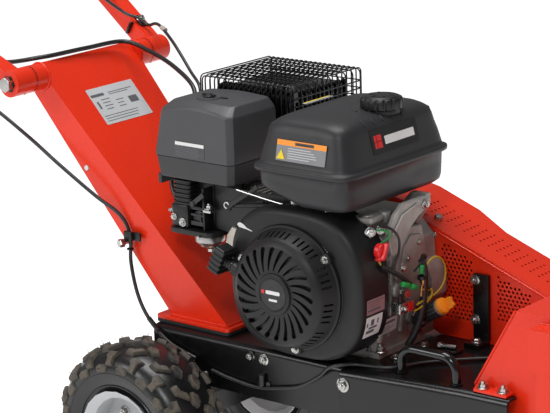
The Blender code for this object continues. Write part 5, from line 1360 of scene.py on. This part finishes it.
MAUVE_GREY = finish("label_grey", "grey_plastic", (0.19, 0.19, 0.20), 0.45, swing=0.05)


def exhaust():
    """Glossy silencer with its comb of louvres, and the wire cage over it."""
    body = block((18.0, 38.0, 654.0), (192.0, 206.0, 744.0), 14.0, 5)
    outlet = rod((112.0, 56.0, 622.0), (112.0, 56.0, 664.0), 17.0, 32)
    add("muffler_shell", join(body, outlet), "chassis", GLOSS_BLACK, smooth=50.0,
        stands_for=("muffler",))
    combs = []
    for index in range(15):
        x = 24.0 + index * 11.6
        outline = [(34.2, 714.0), (34.2, 736.0), (37.0, 744.0), (46.0, 749.5), (62.0, 751.0),
                   (62.0, 714.0)]
        combs.append(prism([(y, z) for y, z in outline], (x, 0.0, 0.0), Y_AXIS, UP, 5.6, 1.6))
    for index in range(11):
        y = 66.0 + index * 12.4
        outline = [(186.0, 668.0), (186.0, 750.0), (192.0, 748.0), (195.6, 740.0), (195.6, 668.0)]
        combs.append(prism([(-(x), z) for x, z in outline][::-1], (0.0, y, 0.0), -X_AXIS, UP, 5.6))
    add("muffler_louvres", join(*combs), "chassis", GLOSS_BLACK, smooth=45.0, bevel=1.4)
    nuts = [lathe([(0.0, 0.0), (10.5, 0.0), (10.5, 9.0), (9.0, 12.0), (0.0, 13.0)],
                  (x, 38.0, 752.5), UP, 6) for x in (150.0, 190.0)]
    add("muffler_nuts", join(*nuts), "chassis", GLOSS_BLACK, bevel=1.0)

    x_low, x_high, y_low, y_high = -2.0, 212.0, 18.0, 222.0
    top, skirt, radius, bend = 767.0, 700.0, 1.35, 9.0
    wires = []

    def hoop(a_low, a_high, foot):
        route = [(a_low, foot), (a_low, top - bend - 8.0)]
        route += arc((a_low + bend, top - bend), bend, 180.0, 90.0, 5)
        route += arc((a_high - bend, top - bend), bend, 90.0, 0.0, 5)
        return route + [(a_high, foot)]

    for index in range(20):
        x = x_low + 3.0 + (x_high - x_low - 6.0) * index / 19.0
        wires.append(tube([(x, a, z) for a, z in hoop(y_low + 1.5, y_high - 1.5, skirt)], radius, 6))
    for index in range(10):
        y = y_low + 6.0 + (y_high - y_low - 12.0) * index / 9.0
        route = [(a, y, z - 2.4) for a, z in hoop(x_low + 3.0, x_high - 1.5, skirt + 2.0)]
        wires.append(tube(route, radius, 6))
    for z in (701.5, 715.0, 729.0, 743.0):
        route = [(x, y, z) for x, y in rounded_rectangle((x_low + 1.5, y_low + 1.5),
                                                         (x_high - 1.5, y_high - 1.5), 6.0, 4)]
        if z < 705.0:
            wires.append(tube(route, 1.6, 6, closed=True))
        else:
            wires.append(tube([(x_high - 1.5, y_low + 3.0, z), (x_high - 1.5, y_high - 3.0, z)],
                              radius, 6))
            wires.append(tube([(x_low + 1.5, y_high - 1.5, z), (x_high - 3.0, y_high - 1.5, z)],
                              radius, 6))
    add("wire_cage", join(*wires), "chassis", SATIN, smooth=60.0, stands_for=("muffler_cage",))


def electrics():
    """Ignition switch, oil plug, and the wires and connectors beside the engine."""
    x, y, z = 471.0, -86.0, 538.0
    knob = lathe([(0.0, 0.0), (12.4, 0.0), (12.8, 1.0), (12.8, 8.0), (11.6, 10.6), (9.0, 12.2),
                  (0.0, 13.0)], (x, y, z), X_AXIS, 48)
    turn = Matrix.Rotation(math.radians(-28.0), 3, "X")
    bar = turned_block((x + 13.5, y, z), (10.0, 6.4, 30.0), turn, 2.2)
    tail = turned_block((x + 6.0, y - 7.0, z - 13.0), (10.0, 7.0, 7.0), turn, 1.5)
    add("switch_knob", join(knob, bar, tail), "switch", RED_KNOB, smooth=45.0, bevel=0.4,
        stands_for=("ignition_switch",))

    rise = math.radians(31.0)
    along = Vector((math.cos(rise), 0.0, math.sin(rise)))
    start = Vector((507.0, 40.0, 413.6))
    plug = lathe([(0.0, 0.0), (13.6, 0.0), (14.5, 1.0), (14.5, 7.0), (13.2, 9.4), (9.0, 10.2),
                  (0.0, 10.4)], start, along, 40,
                 lambda a, r, h: r - (0.9 * max(0.0, math.cos(12.0 * a)) if r > 13.0 else 0.0))
    outline = [(-10.0, 0.0), (-10.0, 10.0), (-7.0, 15.0), (0.0, 13.0), (7.0, 15.0), (10.0, 10.0),
               (10.0, 0.0)]
    side = along.cross(Y_AXIS)
    wing = prism(outline, start + along * 9.0 - Y_AXIS * -3.0, side, along, 6.0)
    stick = rod(start + along, start - along * 58.0, 3.6, 14)
    add("oil_plug_knob", join(plug, wing, stick), "oil_plug", ORANGE, smooth=45.0, bevel=0.8,
        stands_for=("dipstick",))
    collar = lathe([(10.4, -2.0), (15.0, -2.0), (15.0, -44.0), (17.6, -52.0), (17.6, -58.0),
                    (10.4, -58.0)], start - along * 0.4, along, 36)
    add("oil_neck", collar, "chassis", DARK_STEEL)

    black = [wire([(470.0, -80.0, 578.0), (478.0, -58.0, 570.0), (484.0, -44.0, 548.0),
                   (484.0, -52.0, 516.0), (478.0, -72.0, 500.0), (474.0, -86.0, 512.0)], 2.2),
             wire([(476.0, -86.0, 512.0), (482.0, -60.0, 496.0), (486.0, -40.0, 482.0),
                   (488.0, -12.0, 460.0)], 4.6),
             wire([(484.0, 19.0, 500.0), (488.0, 20.0, 478.0), (488.0, 18.0, 440.0),
                   (486.0, 10.0, 400.0), (480.0, 0.0, 372.0), (470.0, -6.0, 350.0)], 6.6),
             wire([(484.0, -4.0, 484.0), (487.0, 10.0, 494.0), (486.0, 19.0, 501.0)], 2.0),
             wire([(486.0, 12.0, 462.0), (490.0, 24.0, 452.0), (490.0, 30.0, 440.0),
                   (486.0, 16.0, 430.0)], 2.6),
             block((478.0, -44.0, 424.0), (484.0, -34.0, 452.0), 2.0)]
    ring = lathe([(2.6, 0.0), (7.0, 0.0), (7.0, 3.4), (2.6, 3.4)], (486.0, 19.0, 503.0), X_AXIS, 28)
    clips = [lathe([(6.8, 0.0), (8.0, 0.0), (8.0, 6.0), (6.8, 6.0)], (487.0, 14.0, z), UP, 20)
             for z in (466.0, 388.0)]
    add("engine_loom", join(*black, ring, *clips), "chassis", SHEATH, smooth=60.0)
    yellow = [wire([(489.0, 24.0, 486.0), (490.0, 36.0, 496.0), (490.0, 56.0, 496.0),
                    (490.0, 74.0, 482.0), (490.0, 79.0, 460.0), (490.0, 70.0, 442.0),
                    (490.0, 48.0, 432.0), (490.0, 20.0, 430.0), (489.0, -4.0, 426.0)], 1.7),
              wire([(490.0, 8.0, 452.0), (491.0, 22.0, 444.0), (491.0, 36.0, 444.0),
                    (491.0, 34.0, 430.0), (490.0, 10.0, 420.0), (488.0, -10.0, 416.0)], 1.7),
              wire([(468.0, -88.0, 524.0), (474.0, -86.0, 518.0), (476.0, -83.0, 511.0)], 1.7)]
    add("engine_wires_yellow", join(*yellow), "chassis", YELLOW, smooth=60.0)
    green = [wire([(468.0, -84.0, 572.0), (476.0, -68.0, 568.0), (478.0, -60.0, 560.0),
                   (474.0, -66.0, 553.0), (467.0, -74.0, 546.0)], 1.6),
             rod((489.0, 12.0, 492.0), (489.0, 10.0, 477.0), 4.4, 20),
             rod((490.0, -46.0, 473.0), (490.0, -26.0, 466.0), 4.4, 20),
             rod((491.0, -22.0, 464.0), (491.0, -6.0, 457.0), 4.4, 20)]
    add("engine_sleeves_green", join(*green), "chassis", GREEN, smooth=60.0)
    pins = join(rod((490.0, 14.0, 470.0), (490.0, 12.0, 456.0), 2.8, 16),
                rod((490.0, 10.0, 458.0), (490.0, 6.0, 438.0), 2.4, 16))
    add("engine_pins", pins, "chassis", BRASS)
    sender = join(lathe([(0.0, 0.0), (8.5, 0.0), (8.5, 6.0), (6.5, 7.0), (6.5, 16.0), (0.0, 16.0)],
                        (470.0, -22.0, 450.0), (1.0, -0.2, 0.0), 14),
                  block((468.0, -50.0, 418.0), (488.0, -14.0, 438.0), 3.0),
                  hex_bolt((488.0, -42.0, 428.0), X_AXIS, 10.0, 5.0, stud=2.0),
                  hex_bolt((480.0, -30.0, 495.0), X_AXIS, 10.0, 4.0))
    add("oil_sender", sender, "chassis", ZINC, bevel=0.5)
    face = block((488.0, -30.0, 420.0), (491.0, -15.0, 436.0), 1.0)
    add("oil_sender_face", face, "chassis", LABEL_RED)


# ---------------------------------------------------------------- drive, guard and cutter
def round_holes(places, out, radius, reach):
    """Short bars that cut a set of round holes along a direction."""
    out = Vector(out).normalized()
    return join(*[lathe([(0.0, -reach), (radius, -reach), (radius, reach), (0.0, reach)],
                        place, out, 12) for place in places])


def belt_guard():
    """Folded cover and back plate with their punched holes, and the bolts."""
    plate = copy_of("guard_back_plate", "chassis", RED, bevel=0.7)
    holes = []
    for x_low, x_high, z_low, z_high in ((463.0, 524.0, 374.0, 500.0), (578.0, 645.0, 386.0, 462.0)):
        rows = int((z_high - z_low) / 7.4)
        for row in range(rows + 1):
            z = z_low + row * 7.4
            limit = 542.4 + GUARD_SLOPE * (0.0 - 415.6)
            for column_index in range(int((x_high - x_low) / 8.5) + 1):
                x = x_low + column_index * 8.5 + (4.25 if row % 2 else 0.0)
                if x < x_high and z < limit + GUARD_SLOPE * x - 20.0:
                    holes.append((x, 109.7, z))
    carve(plate, round_holes(holes, Y_AXIS, 2.3, 6.0))

    cover = copy_of("belt_guard_cover", "chassis", RED, bevel=1.0)
    slope = Vector((1.0, 0.0, GUARD_SLOPE)).normalized()
    normal = slope.cross(Y_AXIS) * -1.0
    if normal.z < 0.0:
        normal = -normal
    holes = []
    x = 379.0
    while x < 800.0:
        z = 542.4 + GUARD_SLOPE * (x - 415.6)
        for index in range(5):
            holes.append((x, 149.0 + index * 10.5, z - 1.3))
        x += 17.0
    carve(cover, round_holes(holes, normal, 2.4, 5.0))

    start = Vector((397.0, 113.0, 542.4 + GUARD_SLOPE * (397.0 - 415.6)))
    end = start + slope * 310.0
    drop = Vector((0.0, -3.4, -4.6))
    # Painted shade: a thin black rod between the cover's top and its fold stands in for the shadowed gap
    # there.
    add("guard_gap_painted_shade", tube([start + drop * 0.75, end + drop * 0.75], 1.7, 8), "chassis", BLACK_LABEL)
    add("guard_fold", tube([start + drop * 1.5, end + drop * 1.5], 1.7, 8), "chassis", RED)
    top_bolt = Vector((434.0, 138.0, 542.4 + GUARD_SLOPE * (434.0 - 415.6)))
    bolts = [hex_bolt(top_bolt, normal, 13.0, 7.0, washer=False),
             hex_bolt((537.0, 99.8, 450.7), -Y_AXIS, 12.0, 5.0, stud=3.0),
             hex_bolt((537.0, 99.8, 380.5), -Y_AXIS, 12.0, 5.0, stud=3.0),
             hex_bolt((549.5, 84.0, 346.1), UP, 12.0, 5.0),
             hex_bolt((445.0, 108.4, 515.0), -Y_AXIS, 8.0, 3.0)]
    for x in (700.0, 760.0):
        z = 542.4 + GUARD_SLOPE * (x - 415.6)
        bolts.append(hex_bolt(Vector((x, 140.0, z)), normal, 12.0, 5.0))
    add("guard_bolts", join(*bolts), "chassis", ZINC)

    dress("clutch_drum", STEEL, 0.8)
    dress("drive_belt", RUBBER, 0.8)
    dress("driven_pulley", STEEL, 0.8)
    dress("cutter_spindle", STEEL, 0.6)


def cutter():
    """Welded hood, its bolts and beads, and the toothed wheel."""
    dress("cutter_housing", RED, 1.3)
    bolts = []
    for side in (RIGHT, LEFT):
        for x in (683.0, 722.0):
            bolts.append(hex_bolt((x, side * 93.0, 342.1), UP, 13.0, 6.0, stud=5.0))
    for index in range(4):
        angle = math.radians(45.0 + 90.0 * index)
        at = (CUTTER[0] + 36.0 * math.cos(angle), 88.5, CUTTER[1] + 36.0 * math.sin(angle))
        bolts.append(hex_bolt(at, Y_AXIS, 8.0, 4.0, washer=False))
    add("housing_bolts", join(*bolts), "chassis", ZINC)
    beads = [weld((737.0, -80.6, 478.0), (660.0, -80.6, 343.0), 1.8),
             weld((786.0, -81.0, 398.0), (786.0, -81.0, 466.0), 1.8),
             weld((786.0, -81.0, 466.4), (930.0, -81.0, 466.4), 1.8),
             weld((930.0, -81.0, 466.0), (930.0, -81.0, 398.0), 1.8)]
    add("housing_welds", join(*beads), "chassis", RED, smooth=60.0)
    dress("cutter_wheel", STEEL, 1.0)
    tips = []
    for index in range(12):
        angle = 2.0 * math.pi * index / 12.0
        lean = 5.0 if index % 2 else -5.0
        turn = Matrix.Rotation(-angle, 3, "Y")
        at = Vector((CUTTER[0] + 146.0 * math.cos(angle), lean + (14.0 if index % 2 else -14.0),
                     CUTTER[1] + 146.0 * math.sin(angle)))
        tips.append(turned_block(at + turn @ Vector((-3.0, 0.0, 11.5)), (7.0, 12.0, 4.0), turn, 0.8))
    add("cutter_tips", join(*tips), "cutter", ZINC)


def main():
    stage_and_camera()
    chassis()
    for side, name in ((RIGHT, "right"), (LEFT, "left")):
        tyre(side, name)
    column()
    handlebar()
    cables()
    air_filter()
    intake()
    linkage()
    starter()
    blower()
    blower_labels()
    crankcase()
    tank()
    exhaust()
    electrics()
    belt_guard()
    cutter()


main()
